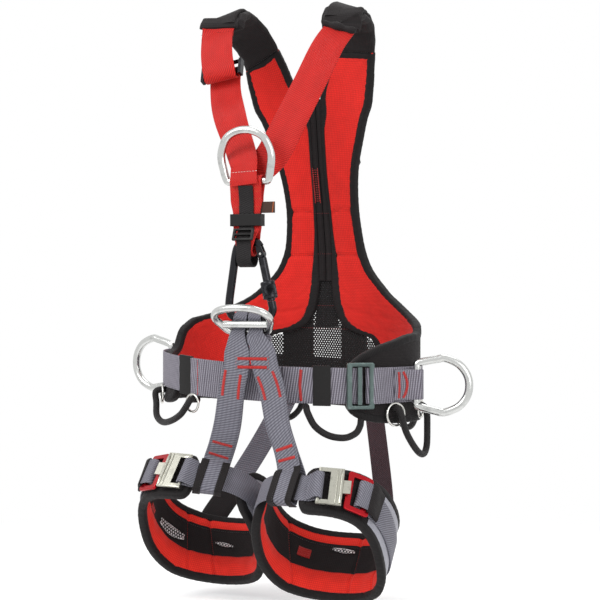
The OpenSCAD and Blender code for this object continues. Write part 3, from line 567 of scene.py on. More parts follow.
class Shader:
    """A material under construction: its tree, its shader node and its pattern coordinates."""

    def __init__(self, name: str, space: str = "UV") -> None:
        """Starts a material.

        Args:
            name: The material's name.
            space: "UV" for the piece's own woven map, "Object" for the frame's space.
        """
        self.material = bpy.data.materials.new(name)
        self.material.use_nodes = True
        self.tree = self.material.node_tree
        self.tree.nodes.clear()
        self.bsdf = self.add("ShaderNodeBsdfPrincipled")
        self.add("ShaderNodeOutputMaterial", {"Surface": self.bsdf.outputs[0]})
        self.coords = self.add("ShaderNodeTexCoord").outputs[space]
        self.heights: list[tuple[Socket, float]] = []

    def add(self, kind: str, inputs: dict | None = None, **settings) -> bpy.types.Node:
        """Adds a node to this material's tree and returns it."""
        return add_node(self.tree, kind, inputs, **settings)

    def scaled(self, x: float, y: float, z: float | None = None) -> Socket:
        """Returns the coordinates with a cell of x by y (by z) millimetres made one unit."""
        scale = (1 / (x * MM), 1 / (y * MM), 1 / ((z or x) * MM))
        return self.add("ShaderNodeMapping", {"Vector": self.coords, "Scale": scale}).outputs[0]

    def maths(self, operation: str, a, b=0.0) -> Socket:
        """Returns the result of a sum on one or two values."""
        return self.add("ShaderNodeMath", {0: a, 1: b}, operation=operation).outputs[0]

    def wave(self, vector: Socket, axis: str) -> Socket:
        """Returns a 0 to 1 wave with one crest for each unit along an axis."""
        parts = self.add("ShaderNodeSeparateXYZ", {0: vector})
        turn = self.maths("MULTIPLY", parts.outputs[axis], 2 * math.pi)
        return self.spread(self.maths("SINE", turn), 0.5, 0.5)

    def spread(self, value: Socket, factor, offset) -> Socket:
        """Returns value times factor plus offset."""
        return self.add(
            "ShaderNodeMath", {0: value, 1: factor, 2: offset}, operation="MULTIPLY_ADD").outputs[0]

    def noise(self, vector, detail: float = 2.0, rough: float = 0.5) -> Socket:
        """Returns soft noise with features about one unit across."""
        return self.add("ShaderNodeTexNoise", {"Vector": vector, "Scale": 1.0, "Detail": detail,
                                               "Roughness": rough}).outputs["Fac"]

    def ranged(self, value: Socket, low: float, high: float) -> Socket:
        """Returns 0 to 1 for a value between a low and a high mark."""
        return self.add("ShaderNodeMapRange", {"Value": value, "From Min": low, "From Max": high}).outputs[0]

    def blend(self, share, a, b) -> Socket:
        """Returns colour a mixed with colour b; either is a hex code or a socket."""
        first, second = (hex_to_linear(c) if isinstance(c, str) else c for c in (a, b))
        return self.add("ShaderNodeMix", {0: share, 6: first, 7: second}, data_type="RGBA").outputs[2]

    def colour(self, socket: Socket) -> None:
        """Feeds the base colour."""
        self.tree.links.new(socket, self.bsdf.inputs["Base Color"])

    def shaded(self, colour: Socket, value: Socket) -> None:
        """Feeds the base colour, made darker or lighter by a pattern."""
        self.colour(self.add("ShaderNodeHueSaturation", {"Color": colour, "Value": value}).outputs[0])

    def set(self, **values: float) -> None:
        """Sets plain shader values, such as Roughness; underscores stand for spaces."""
        for key, value in values.items():
            self.bsdf.inputs[key.replace("_", " ")].default_value = value

    def rough_between(self, share: Socket, low: float, high: float) -> None:
        """Feeds the roughness from a 0 to 1 pattern."""
        self.tree.links.new(self.spread(share, high - low, low), self.bsdf.inputs["Roughness"])

    def relief(self, *layers: tuple[Socket, float]) -> None:
        """Raises the surface by patterns, each with its height in millimetres."""
        normal = None
        for height, depth in layers:
            inputs = {"Height": height, "Strength": 1.0, "Distance": depth * MM}
            if normal is not None:
                inputs["Normal"] = normal
            normal = self.add("ShaderNodeBump", inputs).outputs[0]
        self.tree.links.new(normal, self.bsdf.inputs["Normal"])


@dataclass(frozen=True)
class FinishSpec:
    """What every finish states."""

    name: str  # the material's name
    slot: str  # the record's material slot
    main: str  # main colour, which is the lit one on cloth
    second: str  # colour between yarns, or where the surface is worn or scuffed


@dataclass(frozen=True)
class PolyesterWebbing(FinishSpec):
    """Woven polyester webbing: fine cords along the strap crossed by a slanting weft.

    The eye sees a ribbed, slightly silky band. The real cords are about 1 mm apart; they are
    drawn coarser so that they show.
    """

    rib: float = 2.7  # distance between cords in millimetres
    slant: float = 0.7  # how far the weft slants, weft per cord
    depth: float = 0.4  # height of the weave in millimetres
    cords: float = 0.3  # how far the cords show through the slanting weft, 0 to 1

    def build(self) -> bpy.types.Material:
        """Builds the material."""
        s = Shader(self.name)
        cell = s.scaled(self.rib, self.rib * 1.3)
        parts = s.add("ShaderNodeSeparateXYZ", {0: cell})
        cords = s.spread(s.maths("POWER", s.wave(cell, "X"), 0.6), self.cords, 1 - self.cords)
        lean = s.spread(parts.outputs["X"], self.slant, parts.outputs["Y"])
        weft = s.spread(s.maths("SINE", s.maths("MULTIPLY", lean, 2 * math.pi)), 0.4, 0.6)
        weave = s.maths("MULTIPLY", cords, weft)
        shade = s.spread(s.noise(s.scaled(14, 30), 3.0), 0.34, 0.83)
        s.shaded(s.blend(weave, self.second, self.main), shade)
        s.set(Specular_IOR_Level=0.25, Sheen_Weight=0.08, Sheen_Roughness=0.4)
        s.rough_between(weave, 0.72, 0.52)
        s.relief((weave, self.depth))
        return s.material


@dataclass(frozen=True)
class PaddingCloth(FinishSpec):
    """Close plain-woven polyester over foam: a matt cloth with a small square grain."""

    yarn: float = 2.6  # distance between yarns in millimetres
    depth: float = 0.22  # height of the grain in millimetres
    sheen: float = 0.1  # how much the cloth brightens at a glancing angle

    def build(self) -> bpy.types.Material:
        """Builds the material."""
        s = Shader(self.name)
        cell = s.scaled(self.yarn, self.yarn)
        grid = s.maths("MULTIPLY", s.wave(cell, "X"), s.wave(cell, "Y"))
        crumples_and_shade = s.noise(s.scaled(16, 22), 3.0, 0.45)
        # one noise raises soft crumples and also darkens the colour where they sink: painted shade in their
        # hollows
        s.shaded(s.blend(s.maths("POWER", grid, 0.4), self.second, self.main), s.spread(crumples_and_shade, 0.3, 0.85))
        s.set(Roughness=0.82, Specular_IOR_Level=0.3, Sheen_Weight=self.sheen, Sheen_Roughness=0.5)
        s.relief((grid, self.depth), (crumples_and_shade, 1.6))
        return s.material


@dataclass(frozen=True)
class BindingTape(FinishSpec):
    """Folded nylon grosgrain tape: fine ribs square to its run, 2.2 mm apart, nearly black."""

    def build(self) -> bpy.types.Material:
        """Builds the material."""
        s = Shader(self.name)
        ribs = s.wave(s.scaled(2.2, 2.2), "Y")
        mottle = s.noise(s.scaled(9, 9), 4.0)
        # one soft noise raises the tape, roughens it and lightens its colour together, so the colour is
        # darker where the surface sinks
        s.colour(s.blend(s.maths("MULTIPLY", ribs, mottle), self.second, self.main))
        s.set(Specular_IOR_Level=0.25, Sheen_Weight=0.05, Sheen_Roughness=0.45)
        s.rough_between(mottle, 0.6, 0.85)
        s.relief((ribs, 0.18), (mottle, 0.8))
        return s.material


@dataclass(frozen=True)
class SpacerMesh(FinishSpec):
    """Warp-knitted spacer mesh: dark cloth with small holes, drawn a little coarse so that they show."""

    def build(self) -> bpy.types.Material:
        """Builds the material."""
        s = Shader(self.name)
        cells = s.add(
            "ShaderNodeTexVoronoi", {"Vector": s.scaled(3.4, 3.4), "Scale": 1.0, "Randomness": 0.12})
        edge = s.ranged(cells.outputs["Distance"], .22, .42)
        s.colour(s.blend(s.maths("MULTIPLY", edge, s.noise(s.scaled(1.1, 1.1), 2.0)), self.second, self.main))
        s.set(Roughness=0.85, Specular_IOR_Level=0.25, Sheen_Weight=0.3, Sheen_Roughness=0.5)
        s.relief((edge, 0.5))
        return s.material


@dataclass(frozen=True)
class Alloy(FinishSpec):
    """A metal part: forged, plated, anodised or coated, told apart by colour and polish."""

    smoothness: tuple[float, float] = (0.2, 0.4)  # roughness of the polished and of the dull places
    metal: float = 1.0  # 1 for bare or anodised metal, less under a paint-like coat
    grain: float = 3.0  # size of the polishing marks in millimetres
    dents: float = 0.05  # depth of the hammered or tumbled unevenness in millimetres
    spread: float = 0.4  # how much of the surface shows the worn colour, 0 to 1

    def build(self) -> bpy.types.Material:
        """Builds the material."""
        s = Shader(self.name, "Object")
        cloud = s.noise(s.scaled(self.grain * 4, self.grain * 4), 4.0, 0.6)
        fine = s.noise(s.scaled(self.grain * .3, self.grain * .3, self.grain), 2.0)
        patch = s.ranged(cloud, .75 - self.spread * .5, .95 - self.spread * .4)
        s.colour(s.blend(patch, self.main, self.second))
        s.set(Metallic=self.metal)
        s.rough_between(s.maths("MULTIPLY", cloud, fine), *self.smoothness)
        s.relief((cloud, self.dents), (fine, 0.012))
        return s.material


@dataclass(frozen=True)
class MouldedPlastic(FinishSpec):
    """Injection-moulded polyamide: dark, with a fine spark-eroded grain and a soft gloss."""

    def build(self) -> bpy.types.Material:
        """Builds the material."""
        s = Shader(self.name, "Object")
        grain = s.noise(s.scaled(.7, .7), 2.0)
        scuff = s.noise(s.scaled(6, 6), 5.0, 0.65)
        mark = s.maths("MULTIPLY", s.ranged(scuff, .56, .72), .5)
        s.colour(s.blend(mark, self.main, self.second))
        s.set(IOR=1.53, Specular_IOR_Level=0.25)
        s.rough_between(scuff, 0.42, 0.65)
        s.relief((grain, 0.03))
        return s.material


@dataclass(frozen=True)
class BraidedCover(FinishSpec):
    """Braided polyamide sleeve over a stiff cord: crossing 2.2 mm yarns in a diamond pattern."""

    def build(self) -> bpy.types.Material:
        """Builds the material."""
        s = Shader(self.name)
        x, y = s.add("ShaderNodeSeparateXYZ", {0: s.scaled(2.2, 2.2 * 1.3)}).outputs[:2]
        left, right = (
            s.maths("SINE", s.maths("MULTIPLY", s.maths(way, x, y), math.pi)) for way in ("ADD", "SUBTRACT"))
        braid = s.maths("ABSOLUTE", s.maths("MULTIPLY", left, right))
        s.colour(s.blend(braid, self.second, self.main))
        s.set(Specular_IOR_Level=0.3, Sheen_Weight=0.05)
        s.rough_between(braid, 0.7, 0.5)
        s.relief((braid, 0.35))
        return s.material


@dataclass(frozen=True)
class SewingThread:
    """Bonded polyester thread: a smooth twisted yarn with a soft shine."""

    name: str  # the material's name
    light: str  # lit colour
    dark: str  # colour in the twist

    def build(self) -> bpy.types.Material:
        """Builds the material."""
        s = Shader(self.name, "Object")
        s.colour(s.blend(s.noise(s.scaled(.8, .8), 1.0), self.dark, self.light))
        s.set(Roughness=0.55, Specular_IOR_Level=0.4, Sheen_Weight=0.2)
        return s.material


class Finish(Enum):
    """Every finish on the harness."""

    RED_WEB = PolyesterWebbing("polyester_webbing_red", "red_webbing", "D4231C", "8E120F", 2.7, .8, .35)
    GREY_WEB = PolyesterWebbing("polyester_webbing_grey", "grey_webbing", "86858F", "484751")
    BELT_WEB = PolyesterWebbing(
        "polyester_webbing_belt_grey", "grey_webbing", "9A96A1", "37333E", 2.5, .1, .6, .22)
    MAROON_WEB = PolyesterWebbing(
        "elastic_webbing_maroon_black", "black_fabric", "4C333A", "251C20", 2.2, .2, .4, .5)
    BLACK_WEB = PolyesterWebbing(
        "polyamide_webbing_black", "black_fabric", "1D191A", "0B090A", 2.0, .3, .35, .5)
    RED_CLOTH = PaddingCloth("woven_padding_cloth_red", "red_padding", "E8281E", "C11C15")
    # the red padding cloth again, painted lighter to make up for the shade on the inner face of the leg
    # loops: painted light
    LEG_CLOTH = PaddingCloth("brushed_padding_cloth_red", "red_padding", "FF3A2B", "DE2419")
    BLACK_CLOTH = PaddingCloth("woven_padding_cloth_black", "black_fabric", "1D1718", "0E0B0C", 2.4, .25, .03)
    TUNNEL = PaddingCloth("woven_tunnel_cloth_dark_grey", "black_fabric", "54464A", "3A3034", 2.4, .2, .06)
    WEDGE = PaddingCloth("woven_wedge_cloth_grey", "black_fabric", "78707A", "5A5358", 2.4, .2, .06)
    GREY_KNIT = PaddingCloth("brushed_knit_light_grey", "grey_webbing", "B0B0BA", "8D8D97", 2.2, .25, .4)
    BINDING = BindingTape("grosgrain_binding_black", "black_fabric", "1D1819", "0C0A0B")
    MESH = SpacerMesh("warp_knit_spacer_mesh_black", "black_mesh", "2A2325", "0C0A0B")
    # a near-white sheet that paints the light of the backdrop showing through the open net, pale enough to
    # hold against the pad's shade: painted light
    LINING = PaddingCloth("mesh_backing_pale", "black_mesh", "FAFAFA", "E6E6E8", 2.0, .1)
    FORGED = Alloy(
        "forged_aluminium_tumbled", "forged_aluminium", "C9CAC8", "9FA09E", (.16, .42), 1.0, 4.0, .12)
    ANODISED = Alloy(
        "anodised_aluminium_black", "black_anodised", "2A2A2D", "4A4A4E", (.18, .36), .85, 3.0, .05, .35)
    STEEL = Alloy("zinc_plated_steel", "steel", "B4B3A8", "8F8D83", (.24, .46), 1.0, 2.4)
    WIRE = Alloy("stainless_wire_polished", "steel", "D2D1CC", "A8A7A2", (.14, .3), 1.0, 2.0, .03)
    DARK_STEEL = Alloy("phosphated_steel_dark", "dark_steel", "4E5B59", "6D7A77", (.3, .5), .8, 2.4)
    RED_ALLOY = Alloy(
        "anodised_aluminium_red", "red_anodised", "A8121C", "C22A30", (.2, .4), .75, 3.0, .04, .35)
    PLASTIC = MouldedPlastic("moulded_polyamide_black", "black_plastic", "0C0A0A", "1C1919")
    CORD = BraidedCover("braided_polyamide_cover_black", "black_cord", "1E1A1B", "0A0809")
    BROWN = PaddingCloth("woven_label_brown", "brown_label", "4A322A", "31221D", 1.4, .1)
    ORANGE = PaddingCloth("woven_label_orange_band", "brown_label", "B8653A", "8C4826", 1.4, .1)


@cache
def material_of(finish: Finish) -> bpy.types.Material:
    """Returns a finish's material, which is built the first time."""
    return finish.value.build()


# ---------------------------------------------------------------- stitches and open mesh


class Seam(Enum):
    """Kinds of machine stitch: pitch, length and thickness in millimetres, and turn in degrees."""

    RUNNING = (3.8, 2.9, 0.75, 0.0)
    FINE = (3.0, 2.1, 0.55, 0.0)
    LADDER = (2.4, 2.3, 1.1, 0.0)
    TACK = (0.95, 5.2, 1.0, 90.0)


class Thread(Enum):
    """Thread colours used on the harness: lit and dark hex codes."""

    RED = ("D8281F", "9E1512")
    DARK_RED = ("9A1F1D", "6A1414")
    ORANGE = ("E0662E", "B0431A")
    WHITE = ("E9E6E2", "C8C4C0")
    BLACK = ("2A2425", "141112")
    GREY = ("5A5964", "3A3944")


def grow(obj: Piece, group: bpy.types.NodeTree, sizes: dict[str, object]) -> bpy.types.Mesh:
    """Runs a node group on an object, keeps the result as a plain mesh and drops the object.

    Args:
        obj: The object that the group starts from.
        group: The node group.
        sizes: The group's input names and their values.

    Returns:
        The plain mesh.
    """
    modifier = obj.modifiers.new(group.name, "NODES")
    modifier.node_group = group
    for socket in group.interface.items_tree:
        if socket.name in sizes and socket.in_out == "INPUT":
            modifier[socket.identifier] = sizes[socket.name]
    bpy.context.view_layer.update()
    graph = bpy.context.evaluated_depsgraph_get()
    mesh = bpy.data.meshes.new_from_object(obj.evaluated_get(graph))
    mesh.name = obj.name
    obj.modifiers.remove(modifier)
    bpy.data.objects.remove(obj)
    return mesh


def node_group(name: str, sizes: dict[str, str]) -> tuple:
    """Starts a geometry node group with named inputs.

    Args:
        name: The group's name.
        sizes: Input name to its kind of socket.

    Returns:
        The group, the outputs of its input node and a function that adds nodes to it.
    """
    group = bpy.data.node_groups.new(name, "GeometryNodeTree")
    group.interface.new_socket("Geometry", in_out="OUTPUT", socket_type="NodeSocketGeometry")
    for label, kind in {"Geometry": "Geometry", **sizes}.items():
        group.interface.new_socket(label, in_out="INPUT", socket_type="NodeSocket" + kind)
    return group, group.nodes.new("NodeGroupInput").outputs, partial(add_node, group)


def end_group(add: Callable, mesh: bpy.types.Node, cloth: Socket) -> None:
    """Ends a group: makes its instances real, gives them a material and puts them out."""
    real = add("GeometryNodeRealizeInstances", {0: mesh})
    add("NodeGroupOutput", {0: add("GeometryNodeSetMaterial", {"Geometry": real, "Material": cloth})})


class ThreadWork:
    """Collects rows of stitches from every piece and sews them with one node tree."""

    def __init__(self) -> None:
        """Starts with no rows and builds the stitch tree."""
        self.rows: dict[tuple[Thread, Seam], list[tuple[Array, Array]]] = {}
        self.group = self.stitch_tree()

    @staticmethod
    def stitch_tree() -> bpy.types.NodeTree:
        """Builds the tree that lays short threads along the edges of a mesh of lines."""
        group, size, add = node_group("stitch_row", {
            "Pitch": "Float", "Length": "Float", "Thickness": "Float", "Turn": "Float", "Thread": "Material"})
        curve = add("GeometryNodeMeshToCurve", {0: size["Geometry"]})
        spaced = add("GeometryNodeResampleCurve", {"Curve": curve, "Length": size["Pitch"]}, mode="LENGTH")
        up = add(
            "GeometryNodeInputNamedAttribute", {"Name": "up"}, data_type="FLOAT_VECTOR").outputs["Attribute"]
        axes = add("FunctionNodeAxesToRotation", {0: add("GeometryNodeInputTangent"), 1: up},
                   primary_axis="X", secondary_axis="Z")
        turn = add("FunctionNodeEulerToRotation", {0: add("ShaderNodeCombineXYZ", {"Z": size["Turn"]})})
        laid = add("FunctionNodeRotateRotation", {0: axes, 1: turn}, rotation_space="LOCAL")
        bead = add("GeometryNodeMeshIcoSphere", {"Radius": 0.5, "Subdivisions": 1})
        scale = add(
            "ShaderNodeCombineXYZ", {"X": size["Length"], "Y": size["Thickness"], "Z": size["Thickness"]})
        sewn = add("GeometryNodeInstanceOnPoints",
                   {"Points": spaced, "Instance": bead, "Rotation": laid, "Scale": scale})
        end_group(add, add("GeometryNodeSetShadeSmooth", {0: sewn}), size["Thread"])
        return group

    def row(self, colour: Thread, seam: Seam, points: Sequence, normals: Sequence) -> None:
        """Adds one row of stitches.

        Args:
            colour: The thread.
            seam: The kind of stitch.
            points: Points along the row, just above the cloth.
            normals: Direction out of the cloth at each point.
        """
        self.rows.setdefault((colour, seam), []).append((np.asarray(points), np.asarray(normals)))

    def on_surface(self, colour: Thread, seam: Seam, place: Callable, a, b, lift, face: int = 1) -> None:
        """Adds a row on a curved sheet.

        Args:
            colour: The thread.
            seam: The kind of stitch.
            place: Puts two surface coordinates and a distance out into space.
            a: First coordinate of the row.
            b: Second coordinate of the row.
            lift: Distance out from the sheet.
            face: 1 for the inner face, -1 for the outer.
        """
        self.row(colour, seam, place(a, b, lift), face * (place(a, b, 0) - place(a, b, 1)))

    def on_ribbon(self, strap: Ribbon, colour: Thread, seam: Seam,
                  spots: Sequence[tuple[float, float]], face: int) -> None:
        """Adds a row on a strap.

        Args:
            strap: The strap.
            colour: The thread.
            seam: The kind of stitch.
            spots: Places as point along the strap and offset from its middle.
            face: 1 for the face on the normal's side, -1 for the other.
        """
        fine = spots if len(spots) > 2 else np.linspace(spots[0], spots[1], 13)
        self.row(colour, seam, *zip(*(strap.spot(i, u, face) for i, u in fine)))

    def build(self) -> None:
        """Sews every row, one piece for each thread and stitch, and rides them on the harness."""
        for (colour, seam), rows in self.rows.items():
            label = f"{colour.name.lower()}_{seam.name.lower()}"
            ups = unit(np.concatenate([n for _, n in rows]))
            edges, base = [], 0
            for points, _ in rows:
                edges += [(base + k, base + k + 1) for k in range(len(points) - 1)]
                base += len(points)
            mesh = bpy.data.meshes.new("lines_" + label)
            mesh.from_pydata((np.concatenate([p for p, _ in rows]) * MM).tolist(), edges, [])
            mesh.attributes.new("up", "FLOAT_VECTOR", "POINT").data.foreach_set("vector", ups.ravel())
            thread = SewingThread("sewing_thread_" + label, *colour.value).build()
            pitch, length, thick, turn = seam.value
            plain = grow(new_object("lines_" + label, mesh), self.group, {
                "Pitch": pitch * MM, "Length": length * MM, "Thickness": thick * MM,
                "Turn": math.radians(turn), "Thread": thread})
            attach(new_object("stitches_" + label, plain), HARNESS)
            log.info("stitches_%s: %d faces", label, len(plain.polygons))


@dataclass
class OpenNet:
    """A sheet of open hexagonal net, cut from a triangle grid by a node tree."""

    name: str  # the piece's name
    pitch: float  # distance between holes in millimetres
    hole: float  # how much of each cell is open, 0 to 1
    gauge: float  # thickness of the net in millimetres
    place: Callable[[float, float], Array]  # puts a flat point, in millimetres, on the surface
    inside: Callable[[float, float], bool]  # tells whether a flat point is on the sheet
    reach: tuple[float, float, float, float]  # lowest and highest flat X, then Y

    def tree(self) -> bpy.types.NodeTree:
        """Builds the tree that turns each grid point into a cell with a hole."""
        group, size, add = node_group(self.name + "_tree", {"Hole": "Float", "Cloth": "Material"})
        cells = add("GeometryNodeDualMesh", {0: size["Geometry"]})
        inner = add(
            "GeometryNodeExtrudeMesh", {"Mesh": cells, "Offset Scale": 0.0, "Individual": True}, mode="FACES")
        top = inner.outputs["Top"]
        shrunk = add("GeometryNodeScaleElements",
                     {"Geometry": inner, "Selection": top, "Scale": size["Hole"]}, domain="FACE")
        end_group(add, add("GeometryNodeDeleteGeometry", {0: shrunk, 1: top}, domain="FACE"), size["Cloth"])
        return group

    def build(self) -> Piece:
        """Cuts the net and returns its object."""
        x0, x1, y0, y1 = self.reach
        step = self.pitch * .866
        rows, cols = int((y1 - y0) / step) + 1, int((x1 - x0) / self.pitch) + 2
        index, verts = {}, []
        for i in range(rows):
            for j in range(cols):
                x, y = x0 + (j + .5 * (i % 2)) * self.pitch, y0 + i * self.pitch * .866
                if self.inside(x, y):
                    index[i, j] = len(verts)
                    verts.append(tuple(self.place(x, y) * MM))
        faces = []
        for i in range(rows - 1):
            for j in range(cols - 1):
                k = i % 2
                for tri in (((i, j), (i, j + 1), (i + 1, j + k)),
                            ((i, j + 1 - k), (i + 1, j + 1), (i + 1, j))):
                    if all(q in index for q in tri):
                        faces.append(tuple(index[q] for q in tri))
        grid = bpy.data.meshes.new(self.name)
        grid.from_pydata(verts, [], faces)
        cut = grow(
            new_object("grid", grid), self.tree(), {"Hole": self.hole, "Cloth": material_of(Finish.MESH)})
        net = finish_mesh(self.name, cut, 60.0)
        thick = net.modifiers.new("gauge", "SOLIDIFY")
        thick.thickness, thick.offset = self.gauge * MM, 0.0
        return net


def show(piece: Piece | Ribbon | Bar | PadShell | EdgeBinding, finish: Finish | Sequence[Finish],
         *nodes: str, slot: str = "", body: str = HARNESS, fill: float = 0.0) -> Piece:
    """Builds a piece, dresses it, makes it ride on a body and hides the CAD nodes it stands for.

    Args:
        piece: The piece, or the shape that builds it.
        finish: Its finish, or one for each material slot of its mesh.
        *nodes: The CAD nodes it stands for, if any.
        slot: The record's material slot, where it isn't the first finish's own; not used.
        body: The body it moves with.
        fill: Share of a full cushion, on a padded piece; not used.

    Returns:
        The piece's object.
    """
    obj = piece if isinstance(piece, Piece) else piece.build()
    finishes = [finish] if isinstance(finish, Finish) else finish
    for one in finishes:
        obj.data.materials.append(material_of(one))
    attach(obj, body)
    slot or finishes[0].value.slot
    if nodes:
        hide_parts(*nodes)
    log.info("%s: %d faces", obj.name, len(obj.data.polygons))
    return obj


@dataclass
class SubAssembly:
    """Base of the harness's sub-assemblies."""

    threads: ThreadWork  # the thread work that all of them share
    frame: dict  # the loaded CAD frame

    def machined(self, node: str, finish: Finish, bevel: float, segments: int = 2, **place: str) -> None:
        """Shows a CAD node's own solid with rounded edges.

        Args:
            node: The CAD node.
            finish: Its finish.
            bevel: Width of the rounding.
            segments: Facets across each rounded edge.
            **place: Body or slot, as show takes them.
        """
        show(machined_copy(self.frame, node, bevel, segments), finish, node, **place)


# ---------------------------------------------------------------- padded parts


def even_loop(columns: Array, step: float, closed: bool = True) -> Array:
    """Spaces rows evenly along their first three columns.

    Args:
        columns: Rows that start with XYZ; the other columns are carried along.
        step: The spacing in millimetres.
        closed: Whether the rows form a loop.

    Returns:
        The evenly spaced rows.
    """
    rows = np.vstack([columns, columns[:1]]) if closed else columns
    keep = np.concatenate([[True], np.linalg.norm(np.diff(rows[:, :3], axis=0), axis=1) > 1e-6])
    rows = rows[keep]
    run = np.concatenate([[0], np.cumsum(np.linalg.norm(np.diff(rows[:, :3], axis=0), axis=1))])
    count = max(8, int(run[-1] / step))
    at = np.linspace(0, run[-1], count, endpoint=not closed)
    return np.stack([np.interp(at, run, rows[:, c]) for c in range(rows.shape[1])], 1)


def softened(rows: Array, passes: int) -> Array:
    """Rounds the corners of a closed loop of rows by averaging neighbours."""
    for _ in range(passes):
        rows = .25 * np.roll(rows, 1, 0) + .5 * rows + .25 * np.roll(rows, -1, 0)
    return rows


def squared(degrees: Array, power: float) -> tuple[Array, Array]:
    """Returns the two coordinates of a rounded square's outline at angles round it."""
    angle = np.radians(degrees)
    return tuple(np.sign(wave) * np.abs(wave) ** power for wave in (np.cos(angle), np.sin(angle)))


def crowded(count: int, even: float = 0.0) -> Array:
    """Returns shares from 0 to 1 that crowd at both ends, mixed with a part of even spacing."""
    return (1 - even) * (.5 - .5 * np.cos(np.pi * np.linspace(0, 1, count))) + even * np.linspace(0, 1, count)


def spread_rows(rows: Array, side: int, shares: Array) -> Array:
    """Fills a sheet between its two edges.

    Args:
        rows: Angle and height at the inner edge, then at the outer edge.
        side: -1 for the wearer's right, 1 for the left.
        shares: How far across each column lies.

    Returns:
        The angle and height of each point of the sheet.
    """
    f = rows[:, :1] + (rows[:, 2:3] - rows[:, :1]) * shares
    h = rows[:, 1:2] + (rows[:, 3:4] - rows[:, 1:2]) * shares
    return np.stack([side * f, h], -1)


@dataclass
class PadShell:
    """A foam pad between two cloths, bound along its edge."""

    name: str  # the piece's name
    sheet: Array  # surface coordinates of the pad, rows by columns by two
    place: Callable  # puts surface coordinates and a distance out into space
    thickness: float  # thickness of the foam
    crown: float = 1.6  # how far the inner face swells between its seams
    # extra depth of the inner face, from the two coordinates and the share across
    inner: Callable | None = None
    # material slot of the inner face, from the coordinates and the share across
    inner_slot: Callable | None = None
    outer_slot: Callable = lambda a, b: 1 + 0 * a  # material slot of the outer face, from its two coordinates
    edge: float = 5.0  # radius of the rounded edge
    outer_crown: float = 0.0  # how far the outer face swells
    hem: float = 8.0  # width of the bound edge, which stays flat

    def build(self) -> Piece:
        """Builds the pad's mesh and returns its object."""
        a, b = self.sheet[..., 0], self.sheet[..., 1]
        flat = self.place(a, b, 0.0)
        steps = np.linalg.norm(np.diff(flat, axis=1), axis=2)
        wide = np.concatenate([np.zeros((len(a), 1)), np.cumsum(steps, 1)], 1)
        rows = np.linalg.norm(np.diff(flat, axis=0), axis=2)
        long = np.concatenate([np.zeros((1, a.shape[1])), np.cumsum(rows, 0)], 0)
        ends = np.minimum(long, long[-1:] - long)
        near = np.minimum(np.minimum(wide, wide[:, -1:] - wide), ends)
        ease = np.sqrt(1 - (1 - np.clip(near / self.edge, 0, 1)) ** 2)
        share = wide / wide[:, -1:]
        dome = np.clip((near - self.hem) / 14, 0, 1) ** .6
        extra = self.inner(a, b, share) if self.inner else 0.0
        o_in = self.thickness / 2 * (1 - ease) - (self.crown * dome - extra) * ease
        o_out = self.thickness / 2 * (1 + ease) + self.outer_crown * dome
        loop = np.concatenate([self.place(a, b, o_in), self.place(a, b, o_out)[:, ::-1]], 1)
        middle = wide - wide[:, -1:] / 2
        across = np.concatenate([middle, middle[:, ::-1], middle[:, :1]], 1)
        mean = np.broadcast_to(long.mean(1, keepdims=True), long.shape)
        along = np.concatenate([mean, mean[:, ::-1], mean[:, :1]], 1)
        columns = a.shape[1]

        def slot_of(i: Array, j: Array) -> Array:
            """Gives each face its cloth: inner face, edge or outer face."""
            inside = j < columns - 1
            k = np.minimum(j, columns - 2)
            found = (self.inner_slot(a[i, k], b[i, k], share[i, k]) if self.inner_slot else np.zeros_like(i))
            mirror = np.clip(2 * columns - 2 - j, 0, columns - 1)
            return np.where(inside, found, self.outer_slot(a[i, mirror], b[i, mirror])).astype(int)

        return skin(self.name, loop, across, along, False, slot_of, 60.0)

    def outline(self) -> Array:
        """Returns the edge as rows of XYZ, outward direction and the two surface coordinates."""
        s = self.sheet
        edge = np.concatenate([s[:, 0], s[-1, 1:], s[-2::-1, -1], s[0, -2:0:-1]])
        middle = self.place(edge[:, 0], edge[:, 1], self.thickness / 2)
        outer = self.place(edge[:, 0], edge[:, 1], self.thickness / 2 + 1.0)
        return np.column_stack([middle, outer - middle, edge])


